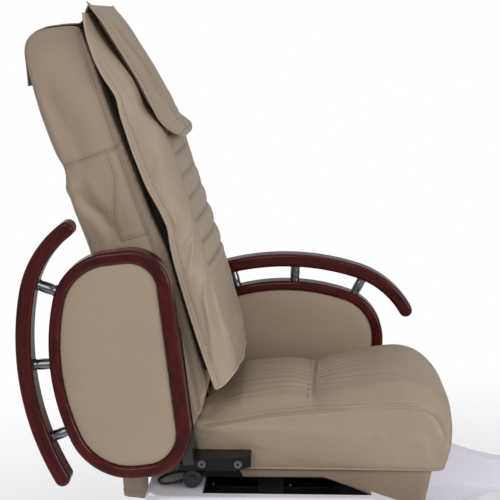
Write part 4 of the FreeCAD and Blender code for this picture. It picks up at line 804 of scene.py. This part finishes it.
# painted shadow under the pillow's strap, added to the painted seam shade
paint_seam_shade(bolster, np.maximum(painted_seam_shade, 0.32 * ramp(along, 690, 768) * on_side))
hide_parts("back_body")
bolster_rows, bolster_lines = [], []
CLEAR_OF_BACK = 285.0
for path, ahead_by, up_by in ((CROSS_SEAM, 0, -SEAM_OFFSET), (BORDER_SEAM, SEAM_OFFSET, 0),
                              (CURVED_SEAM, -SEAM_OFFSET, 0), (LOW_SEAM, 0, -SEAM_OFFSET)):
    line = np.array(path, float)
    for across in (-CLEAR_OF_BACK, CLEAR_OF_BACK):
        bolster_lines.append(on_back(line[:, 0], across, line[:, 1]))
        bolster_rows.append(on_back(line[:, 0] + ahead_by, across, line[:, 1] + up_by))
bolster_stitches = stitch_rows("bolster_stitches", laid_on(bolster, bolster_rows, 0.0), bolster, girth=0.0005)
# dark beads in the seam lines: painted shade in the seams
bolster_seam_shadows = bead("bolster_seam_shadows", laid_on(bolster, bolster_lines, 0.0003), 0.0006, seam_shadow)
belong("back", "leather", bolster, bolster_stitches, bolster_seam_shadows)

# Back pad core: ribbed foam in a black knit sleeve, glued to the bolster's front. Only its edges show,
# as the dark gap behind the loose leather cover; its black also paints the shade in that gap.
knit_and_gap_shade, tree, shader = finish("black_knit_and_gap_shade", shade(18, 17, 17), (0.8, 0.95), tone=(0.8, 1.2), tone_scale=20.0)
spot = add(tree, "TexCoord").outputs["Object"]
loops = add(tree, "TexVoronoi", {"Vector": spot, "Scale": 420.0})
relief(tree, shader, loops.outputs["Distance"], 0.0005)
core = soft_copy("pad_core", "back_pad", 0.0075, knit_and_gap_shade)
spots = points_of(core)
facing = normals_of(core)
ahead, across, along = back_places(spots)
# it is drawn in under the cover, swells a little at the rear, and stops short of the crest
shrink = 10 * ramp(facing[:, 0], -0.3, 0.3) + 9 * ramp(np.abs(facing[:, 1]), 0.4, 0.8)
shrink -= 9 * ramp(facing[:, 0], -0.4, -0.8)
shrink += 16 * ramp(along, 700, 760) * ramp(facing[:, 2], 0.1, 0.6) + 10 * ramp(facing[:, 0], 0.3, 0.7)
put_points(core, spots - facing * shrink[:, None] / 1000)
belong("back", "leather", core)
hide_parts("back_pad")

# Back cover: one loose leather cover hung over the pad, with sewn channels down its middle and wide side flaps whose
# piped hems stand off the bolster; it ends in a free hem above the seat.
COVER_FRONT = np.array([
    (-95, 148), (-57, 153), (-21, 156), (14, 152), (41, 155), (88, 161), (144, 164), (200, 164), (254, 162),
    (320, 156), (383, 152), (428, 149), (467, 147), (500, 139), (545, 121), (620, 104), (700, 86), (772, 66),
    (800, 58)
], float)
RIB_FIRST, RIB_PITCH, RIB_LAST = 172, 51.5, 481
HEM = np.array([
    (-93, 88), (-80, 86), (12, 84), (120, 84), (200, 85), (248, 89), (285, 96), (329, 91), (386, 79), (474, 72),
    (555, 71), (592, 76), (605, 73), (648, 60), (686, 54), (737, 53), (775, 58), (794, 63)
], float)
SHOULDER = np.array([
    (-95, 136), (-57, 145), (3, 150), (91, 150), (172, 149), (232, 148), (327, 148), (397, 147), (441, 147),
    (491, 146), (518, 134), (552, 117), (590, 119), (628, 112), (673, 94), (703, 80), (739, 68), (786, 60), (800, 59)
], float)
COVER_FOLDS = [
    ([(189, 341), (218, 311), (232, 273), (246, 243), (268, 207), (286, 179)], 5.5, 7),
    ([(280, 237), (261, 251), (243, 263)], 3.6, 6), ([(280, 335), (278, 305), (274, 275)], 4.5, 7),
    ([(209, 199), (240, 155), (261, 119), (264, 83), (272, 37), (280, -1), (290, -41)], 6, 7),
    ([(202, 163), (220, 125), (224, 73), (220, 21), (213, -19)], 5, 8),
    ([(222, 160), (238, 105), (244, 50), (248, -10)], -4, 9), ([(222, 250), (236, 215), (252, 180)], -3, 10),
    ([(290, 413), (262, 437), (213, 439)], 5, 16), ([(262, 400), (240, 360), (206, 350)], -4, 16),
    ([(248, 640), (240, 560), (228, 490)], 5, 12), ([(230, 690), (216, 600), (206, 520)], -5, 13),
    ([(272, 720), (262, 640), (268, 560)], -3, 10), ([(120, 130), (130, 60), (118, -40)], 3, 12),
    ([(60, 90), (52, 20), (58, -60)], -2.4, 14), ([(170, 120), (176, 50), (168, -50)], -3, 12)
]
LOW_HEM, HIGH_HEM = -79, 789
FRONT_SHARE, FRONT_HALF_WIDTH = 0.68, 205


def smooth_line(knots, value):
    """A smooth curve through knots, as a moving average of straight runs."""
    return sum(np.interp(value + step, knots[:, 0], knots[:, 1]) for step in (-12, -6, 0, 6, 12)) / 5


def cover_place(share, rise_share):
    """Puts the cover's grid in place, from the right hem round the front to the left hem."""
    turn = 2 * share - 1
    reach = np.abs(turn)
    low = LOW_HEM - 14 * ramp(reach, 0.72, 1) + 3 * np.sin(9 * turn + 1)
    along = low + (HIGH_HEM - low) * rise_share
    middle, shoulder, hem = (smooth_line(knots, along) for knots in (COVER_FRONT, SHOULDER, HEM))
    inner = np.clip(reach / FRONT_SHARE, 0, 1)
    outer = np.clip((reach - FRONT_SHARE) / (1 - FRONT_SHARE), 0, 1)
    y = FRONT_HALF_WIDTH * inner
    ahead = middle - (middle - shoulder) * inner ** 2.4
    # side flap: a bent strip from the shoulder out and back to the hem
    hem_y = 259 + 2.5 * np.sin(along / 47)
    bend_y, bend_ahead = hem_y - 9, shoulder - 5
    start, bend, end = (1 - outer) ** 2, 2 * (1 - outer) * outer, outer ** 2
    on_flap = reach > FRONT_SHARE
    y = np.where(on_flap, start * FRONT_HALF_WIDTH + bend * bend_y + end * hem_y, y)
    ahead = np.where(on_flap, start * shoulder + bend * bend_ahead + end * hem, ahead)
    return np.sign(turn) * y, ahead, along, reach


def seam_across(along):
    """How far from the middle the channels end."""
    return np.interp(along, [150, 187, 250, 335, 423, 492], [205, 203, 190, 178, 162, 140])


def cover_shape(share, rise_share):
    """The cover with its ribs, seams, folds and hems."""
    y, ahead, along, reach = cover_place(share, rise_share)
    width = np.abs(y)
    inside = ramp(width, seam_across(along), seam_across(along) - 12)
    phase = np.pi * (along - RIB_FIRST) / RIB_PITCH
    ribbed = ramp(along, RIB_FIRST - 26, RIB_FIRST - 4) * ramp(along, 512, 490)
    ribs = (9 * np.abs(np.sin(phase)) ** 0.5 - 5) * ribbed * inside
    seam = -3.5 * bell(width - seam_across(along), 3.4) * ramp(along, 150, 190) * ramp(along, 500, 480)
    out = ramp(reach, 0.62, 0.8)
    side = np.sign(y)
    drape = 1.2 * np.sin(width / 24 + along / 95 + 0.6 * side) * ramp(along, 205, 150)
    drape += folds(np.stack([300 * reach, along - 12 * side], 1), COVER_FOLDS, 0.03, 0.7)[0]
    flap = 4.5 * np.sin(along / 58 + 2.2 * side + 2.5 * reach) * bell(reach - 0.86, 0.1)
    hem_line = -1.4 * bell((1 - reach) * 300 - 10, 2.0) * ramp(reach, 0.9, 0.93)
    ahead = ahead + (ribs + seam + drape) * (1 - out)
    y = y + side * (flap + hem_line + drape) * out
    return on_back(ahead, y, along)


cover = sheet_piece("back_cover", 170, 300, cover_shape, 0.0022, leather)
ahead, across, along = back_places(points_of(cover))
width = np.abs(across)
# painted shade in the rib grooves and along the channel seams
groove_shade = bell(np.sin(np.pi * (along - RIB_FIRST) / RIB_PITCH) * RIB_PITCH / np.pi, 4.2)
groove_shade *= ramp(along, RIB_FIRST - 12, RIB_FIRST - 4)
groove_shade *= ramp(along, RIB_LAST + 8, RIB_LAST - 8) * ramp(width, seam_across(along), seam_across(along) - 8)
channel_seam_shade = bell(width - seam_across(along), 3.2) * ramp(along, 150, 190) * (ahead > 120)
paint_seam_shade(cover, np.maximum(0.62 * groove_shade, 0.45 * channel_seam_shade))
# a paler copy of the taupe leather: painted highlight along the cover's piped hems
lit_hem_leather = leather_finish("lit_hem_leather", shade(176, 159, 140))
upward, sideways = np.linspace(0, 1, 140), np.linspace(0, 1, 200)
hem_paths = {"right": cover_shape(0 * upward, upward), "left": cover_shape(0 * upward + 1, upward),
             "low": cover_shape(sideways, 0 * sideways)}
hem_beads = [bead(f"cover_hem_{label}", [path], 0.0027, lit_hem_leather) for label, path in hem_paths.items()]
cover_rows = [cover_shape(np.full(140, edge), np.linspace(0.004, 1, 140)) for edge in (0.018, 0.982)]
cover_rows.append(cover_shape(np.linspace(0.02, 0.98, 200), np.full(200, 0.011)))
cover_stitches = stitch_rows("cover_stitches", cover_rows, cover)
belong("back", "leather", cover, *hem_beads, cover_stitches)
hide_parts("cover_wing_right", "cover_wing_left")

# Head pillow: a thin stuffed leather pillow with a flat sewn edge. It hangs by its strap over the cover's top,
# so its foot sags and its front is creased.
PILLOW_FRONT = np.array([
    (465, 183), (478, 175), (490, 168), (541, 154), (584, 143), (650, 131), (697, 118), (773, 97), (790, 86),
    (806, 74)
], float)
PILLOW_EDGE = np.array([
    (465, 174), (478, 170), (491, 156), (514, 143), (585, 130), (615, 125), (695, 104), (762, 87), (791, 75),
    (812, 68)
], float)
PILLOW_HALF_WIDTH, PILLOW_FOOT, PILLOW_SAG, PILLOW_TOP = 211, 481, 21, 804
SEWN_EDGE = 0.965
HALF_EDGE = 1.3
bm = bmesh.new()
bmesh.ops.create_cube(bm, size=1.0)
for axis, cuts in ((0, 71), (1, 53), (2, 1)):
    lines = [edge for edge in bm.edges if abs(edge.verts[0].co[axis] - edge.verts[1].co[axis]) > 1e-4]
    bmesh.ops.subdivide_edges(bm, edges=lines, cuts=cuts, use_grid_fill=True)
pillow = new_piece("pillow_leather", bm, leather)
shares = points_of(pillow)
turn, height, side = 2 * shares[:, 0], shares[:, 1] + 0.5, 2 * shares[:, 2]
y = PILLOW_HALF_WIDTH * turn * (1 - 0.02 * np.sin(np.pi * height))
low = PILLOW_FOOT - PILLOW_SAG * (1 - turn ** 4)
high = PILLOW_TOP + np.where(turn < 0, 9, 3) * ramp(np.abs(turn), 0.75, 1)
along = low + (high - low) * height
edge = smooth_line(PILLOW_EDGE, along)
front = smooth_line(PILLOW_FRONT, along)
rear = np.minimum(smooth_line(COVER_FRONT, along) + 4, front - 12)
to_edge = np.clip(np.abs(turn) / SEWN_EDGE, 0, 1)
inside = 1 - to_edge ** 2.6
ends = ramp(height, 0.02, 0.3) * ramp(height, 0.99, 0.84)
full_front = edge + (front - edge) * inside
full_rear = edge + (rear - edge) * (1 - to_edge ** 8)
seam_line = np.where(height < 0.5, edge + (front - edge) * 0.55 * inside, edge)
ahead = np.where(side > 0, seam_line + (full_front - seam_line) * ends + HALF_EDGE,
                 np.where(side < 0, seam_line + (full_rear - seam_line) * ends - HALF_EDGE, seam_line))
rim = (np.abs(turn) > 0.955) | (height < 0.035) | (height > 0.975)
put_points(pillow, on_back(ahead, y, along))
swell(pillow, 0.005, rim, pressure=3.0)
refine(pillow)
spots = points_of(pillow)
facing = normals_of(pillow)
ahead, across, along = back_places(spots)
out_front = ramp(facing[:, 0], 0.1, 0.5)
PILLOW_FOLDS = [
    ([(-196, 790), (-191, 700), (-196, 600), (-190, 520)], 3, 8),
    ([(-185, 770), (-150, 690), (-120, 620), (-90, 560)], 7, 22),
    ([(-120, 770), (-80, 680), (-40, 610), (-10, 560)], -9, 24),
    ([(-40, 750), (10, 650), (50, 580), (80, 520)], 7, 28), ([(60, 770), (110, 670), (140, 590)], -7, 26),
    ([(-176, 590), (-110, 540), (-60, 490)], 7, 17), ([(-120, 610), (-50, 550), (10, 495)], -8, 18),
    ([(192, 780), (186, 690), (193, 590), (186, 520)], 3, 8), ([(175, 550), (150, 510), (110, 487)], -4, 12),
    ([(10, 800), (20, 740), (0, 690)], -4, 20)
]
rise, crease_shade = folds(np.stack([across, along], 1), PILLOW_FOLDS, 0.05, 0.6)
# painted shade in the pillow's creases
paint_seam_shade(pillow, 0.5 * crease_shade * out_front)
put_points(pillow, spots + facing * (rise * out_front)[:, None] / 1000)
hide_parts("head_pillow")
border = [(-200, up) for up in range(800, 479, -16)] + [(over, 479) for over in range(-190, 191, 16)]
border += [(200, up) for up in range(480, 801, 16)]
across, along = np.array(border, float).T
pillow_row = on_back(smooth_line(PILLOW_EDGE, along) + 30, across, along)
pillow_stitches = stitch_rows("pillow_stitches", [pillow_row], pillow)
belong("back", "leather", pillow, pillow_stitches)

# Pillow strap: a wide flat flap of the same leather, sewn to the pillow's top edge. It lies over the bolster's
# crest and hangs a little way down its rear, with one row of stitches inside its edge.
STRAP_PATH = [
    (69, 806), (60, 797), (47, 776), (36, 771), (20, 776), (2, 780), (-34, 786), (-61, 784), (-80, 777), (-93, 765),
    (-101, 747), (-106, 725), (-112, 700), (-119, 672)
]
STRAP_WIDTH, STRAP_LIFT = 380, 0.0022
crest = skin_of(bolster)


def strap_shape(share, length):
    """Lays the strap along its path, just clear of the bolster."""
    steps = [path_at(STRAP_PATH, np.clip(length + step, 0, 1)) for step in (-0.02, -0.01, 0, 0.01, 0.02)]
    ahead, along = np.mean(steps, axis=0)
    wave = 1.6 * np.sin(6 * share + 5 * length) * ramp(length, 0.6, 0.95)
    flat = on_back(ahead - wave, STRAP_WIDTH * (share - 0.5), along)
    for number, point in enumerate(flat):
        here, normal, _, _ = crest.find_nearest(Vector(point))
        lift = (Vector(point) - here).dot(normal)
        if lift < STRAP_LIFT:
            flat[number] += np.array(normal) * (STRAP_LIFT - lift)
    return flat


strap = sheet_piece("pillow_flap", 60, 56, strap_shape, 0.0026, leather)
strap_rows = [strap_shape(np.full(60, edge), np.linspace(0.02, 0.98, 60)) for edge in (0.02, 0.98)]
strap_rows.append(strap_shape(np.linspace(0.02, 0.98, 60), np.full(60, 0.972)))
strap_stitches = stitch_rows("flap_stitches", [row + [-0.01, 0, 0.01] for row in strap_rows], strap)
belong("back", "leather", strap, strap_stitches)
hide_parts("pillow_strap")

# Back tail: the rear cover's loose end, a leather apron sewn to the bolster. It hangs behind the base in soft folds.
TAIL_FOOT, TAIL_TOP = 374, 700


def tail_shape(share, up):
    """The apron's grid: round from one front edge behind the chair to the other, and up to the bolster."""
    z = TAIL_FOOT + (TAIL_TOP - TAIL_FOOT) * up
    rear = np.interp(z, [372, 480, 600, 700, 760], [-706, -712, -711, -699, -689])
    front = np.interp(z, [372, 480, 560, 640, 705], [-654, -658, -664, -672, -692])
    slack = ramp(up, 0.8, 0.1)
    plan_x = np.interp(share, [0, 0.1, 0.14, 0.86, 0.9, 1], [0, 0.9, 1, 1, 0.9, 0])
    plan_y = np.interp(share, [0, 0.1, 0.14, 0.5, 0.86, 0.9, 1], [-198, -197, -188, 0, 188, 197, 198])
    fold = (8 * np.sin(share * 34) + 4 * np.sin(share * 59 + 1)) * slack
    x = front + (rear - front) * plan_x + fold * ramp(plan_x, 0.8, 1) * 0.8
    y = plan_y * (1 - 0.03 * slack) + np.sign(plan_y) * fold * ramp(plan_x, 1, 0.8) * 0.8
    return np.stack([x, y, z], 1) / 1000


# the apron uses the skirt's darker copy of the leather
tail = sheet_piece("back_apron", 150, 60, tail_shape, 0.0026, shade_darkened_leather)
tail_row = tail_shape(np.linspace(0.01, 0.99, 160), np.full(160, 0.04))
tail_stitches = stitch_rows("apron_stitches", [tail_row + [-0.01, 0, 0]], tail)
for piece in (tail, tail_stitches):
    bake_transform(piece)
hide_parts("back_tail")

# Armrests: a bent mahogany ring and hand rail in high-gloss lacquer, joined by three turned and plated posts. A padded
# panel fills the ring. A black hinge plate is screwed to its inner face and turns on a pin in the seat's bracket.
bent_grain, given, result = effect("bent_grain", {"Out": 0.0, "Across": 0.0, "Round": 0.0}, ["Streak", "Pore"])
for label, out_scale, round_scale, detail in (("Streak", 75.0, 3.2, 5.0), ("Pore", 620.0, 16.0, 2.0)):
    lay = [add(bent_grain, "Math", {0: given[side], 1: scale}, operation="MULTIPLY").outputs["Value"]
           for side, scale in (("Out", out_scale), ("Across", out_scale), ("Round", round_scale))]
    spot = add(bent_grain, "CombineXYZ", {"X": lay[0], "Y": lay[1], "Z": lay[2]})
    fibre = add(bent_grain, "TexNoise", {"Vector": spot.outputs["Vector"], "Scale": 1.0, "Detail": detail,
                                         "Roughness": 0.6, "Distortion": 0.5})
    bent_grain.links.new(fibre.outputs["Fac"], result[label])


PIN_X, PIN_Z, ARM_MIDDLE = -0.555, 0.528, 0.342
PAD_HALF, PAD_CROWN, CROWN_RUN = 0.0225, 0.0045, 0.018


def mahogany(name, swing, centre, squeeze):
    """Lacquered mahogany whose grain runs round a bend; the arm's own axes start at its hinge pin."""
    material = bpy.data.materials.new(name)
    material.use_nodes = True
    tree = material.node_tree
    shader = tree.nodes["Principled BSDF"]
    spot = add(tree, "TexCoord").outputs["Object"]
    own = add(tree, "Mapping", {"Vector": spot, "Location": (PIN_X, 0, PIN_Z),
                                "Rotation": (0, math.radians(-swing), 0)}, vector_type="TEXTURE")
    hub = add(tree, "VectorMath", {0: own.outputs["Vector"], 1: (centre[0], 0, centre[1])}, operation="SUBTRACT")
    ring = add(tree, "VectorMath", {0: hub.outputs["Vector"], 1: (squeeze, 0, 1)}, operation="MULTIPLY")
    out = add(tree, "VectorMath", {0: ring.outputs["Vector"]}, operation="LENGTH")
    axes = add(tree, "SeparateXYZ", {"Vector": ring.outputs["Vector"]})
    depth = add(tree, "SeparateXYZ", {"Vector": spot})
    turn = add(tree, "Math", {0: axes.outputs["Z"], 1: axes.outputs["X"]}, operation="ARCTAN2")
    grain = add(tree, "Group", {"Out": out.outputs["Value"], "Across": depth.outputs["Y"],
                                "Round": turn.outputs["Value"]}, node_tree=bent_grain)
    band = spread(tree, grain.outputs["Streak"], 0.32, 0.68)
    tone = add(tree, "Mix", {"Factor": band, "A": shade(44, 8, 7), "B": shade(80, 17, 15)}, data_type="RGBA")
    pores = spread(tree, grain.outputs["Pore"], 0.5, 0.75, 1.0, 0.72)
    pored = add(tree, "HueSaturation", {"Value": pores, "Color": tone.outputs["Result"]})
    tree.links.new(pored.outputs["Color"], shader.inputs["Base Color"])
    polish = add(tree, "Group", {"Scale": 12.0, "Low": 0.24, "High": 0.34}, node_tree=mottling)
    tree.links.new(polish.outputs["Value"], shader.inputs["Roughness"])
    for label, value in (("Specular IOR Level", 0.12), ("Coat Weight", 0.3), ("Coat Roughness", 0.06)):
        shader.inputs[label].default_value = value
    relief(tree, shader, grain.outputs["Pore"], 0.00006)
    return material


# a darker copy of the bright plating for the posts: painted dark reflections, in place of dark surroundings
reflection_dimmed_chrome = coated("reflection_dimmed_chrome", shade(118, 120, 126), (0.06, 0.13), 250.0, 0.00001, tone=(0.95, 1.05),
                     tone_scale=14.0, fixed={"Metallic": 1.0})
for side, swing, sign in (("right", 97.0, -1), ("left", 0.0, 1)):
    dress(mahogany(f"mahogany_ring_{side}", swing, (0.217, 0.124), 0.6), f"{side}_armrest_ring")
    dress(mahogany(f"mahogany_rail_{side}", swing, (0.215, -0.297), 1.0), f"{side}_armrest_rail")
    dress(plated, f"{side}_hinge_screws")
    dress(reflection_dimmed_chrome, f"{side}_armrest_posts")
    dress(gloss_black, f"{side}_hinge_plate", f"{side}_pivot_pin")
    soften(0.0008, f"{side}_hinge_plate")
    panel = soft_copy(f"{side}_arm_pad", f"{side}_armrest_panel", 0.0048, leather)
    facing = normals_of(panel)
    swell(panel, 0.0035, np.abs(facing[:, 1]) < 0.6)
    refine(panel)
    spots = points_of(panel)
    facing = normals_of(panel)
    # the leather is stretched flat and tucked in tight against the ring
    rim = np.nonzero(np.abs(facing[:, 1]) < 0.4)[0]
    tuck = KDTree(len(rim))
    for index in rim:
        tuck.insert((spots[index, 0], 0, spots[index, 2]), int(index))
    tuck.balance()
    inward = np.array([tuck.find((px, 0, pz))[2] for px, _, pz in spots])
    depth = spots[:, 1] - sign * ARM_MIDDLE
    full = PAD_HALF + PAD_CROWN * (1 - np.exp(-inward / CROWN_RUN))
    flat_face = ramp(np.abs(facing[:, 1]), 0.3, 0.6)
    depth = flat_face * np.sign(depth) * full + (1 - flat_face) * depth * 1.3
    spots[:, 1] = sign * ARM_MIDDLE + np.clip(depth, -full, full)
    spots[:, [0, 2]] += facing[:, [0, 2]] * ((1 - flat_face) * 0.0012)[:, None]
    put_points(panel, spots)
    belong(f"{side}_arm", "leather", panel)
    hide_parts(f"{side}_armrest_panel")

# Studio: a plain pale floor that fades out into white, four soft lamps, the two strongest from the camera's left
# and right, and the camera that was fitted to the photograph.
bm = bmesh.new()
bmesh.ops.create_grid(bm, x_segments=8, y_segments=8, size=9.0)
paper = coated("pale_floor", shade(250, 250, 252), (0.7, 0.8), 40.0, 0.0001, tone=(0.995, 1.0),
               fixed={"Emission Color": (1.0, 1.0, 1.0, 1.0), "Emission Strength": 0.18})
tree = paper.node_tree
flat = add(tree, "VectorMath", {0: add(tree, "TexCoord").outputs["Object"], 1: (1, 1, 0)}, operation="MULTIPLY")
away = add(tree, "VectorMath", {0: flat.outputs["Vector"]}, operation="LENGTH")
fade = spread(tree, away.outputs["Value"], 1.0, 2.6, 1.0, 0.0, interpolation_type="SMOOTHSTEP")
tree.links.new(fade, tree.nodes["Principled BSDF"].inputs["Alpha"])
floor = new_piece("studio_floor", bm, paper)
world = bpy.data.worlds.new("studio_white")
bpy.context.scene.world = world
world.use_nodes = True
sky = world.node_tree.nodes["Background"]
seen = add(world.node_tree, "LightPath").outputs["Is Camera Ray"]
glow = spread(world.node_tree, seen, 0.0, 1.0, 0.42, 1.0)
sky.inputs["Color"].default_value = (1.0, 1.0, 1.0, 1.0)
world.node_tree.links.new(glow, sky.inputs["Strength"])
for label, where, aim, size, power, tint in (
        ("key", (-1.4, -4.0, 2.7), (-0.4, 0, 0.8), 2.4, 46, (1.0, 0.985, 0.965)),
        ("fill", (3.0, -2.6, 1.9), (-0.2, 0, 0.7), 2.2, 74, (0.98, 0.985, 1.0)),
        ("top", (0.4, 0.5, 3.6), (0.1, 0, 0.5), 2.6, 11, (0.98, 0.985, 1.0)),
        ("rear", (-2.6, 2.6, 2.4), (-0.5, 0, 0.9), 2.0, 22, (0.98, 0.98, 1.0))):
    lamp = bpy.data.lights.new(label, "AREA")
    lamp.shape = "SQUARE"
    lamp.size = size
    lamp.energy = power
    lamp.color = tint
    holder = bpy.data.objects.new(label, lamp)
    holder.location = where
    holder.rotation_euler = (Vector(aim) - Vector(where)).to_track_quat("-Z", "Y").to_euler()
    bpy.context.scene.collection.objects.link(holder)
bpy.context.scene.view_settings.view_transform = "Standard"
lens = bpy.data.cameras.new("photo_camera")
lens.lens = 100.8
lens.sensor_width = 36.0
camera = bpy.data.objects.new("photo_camera", lens)
camera.location = (-0.306, -3.322, 1.476)
camera.rotation_euler = (math.radians(90 - 9.324), 0.0, math.radians(2.045))
bpy.context.scene.collection.objects.link(camera)
bpy.context.scene.camera = camera
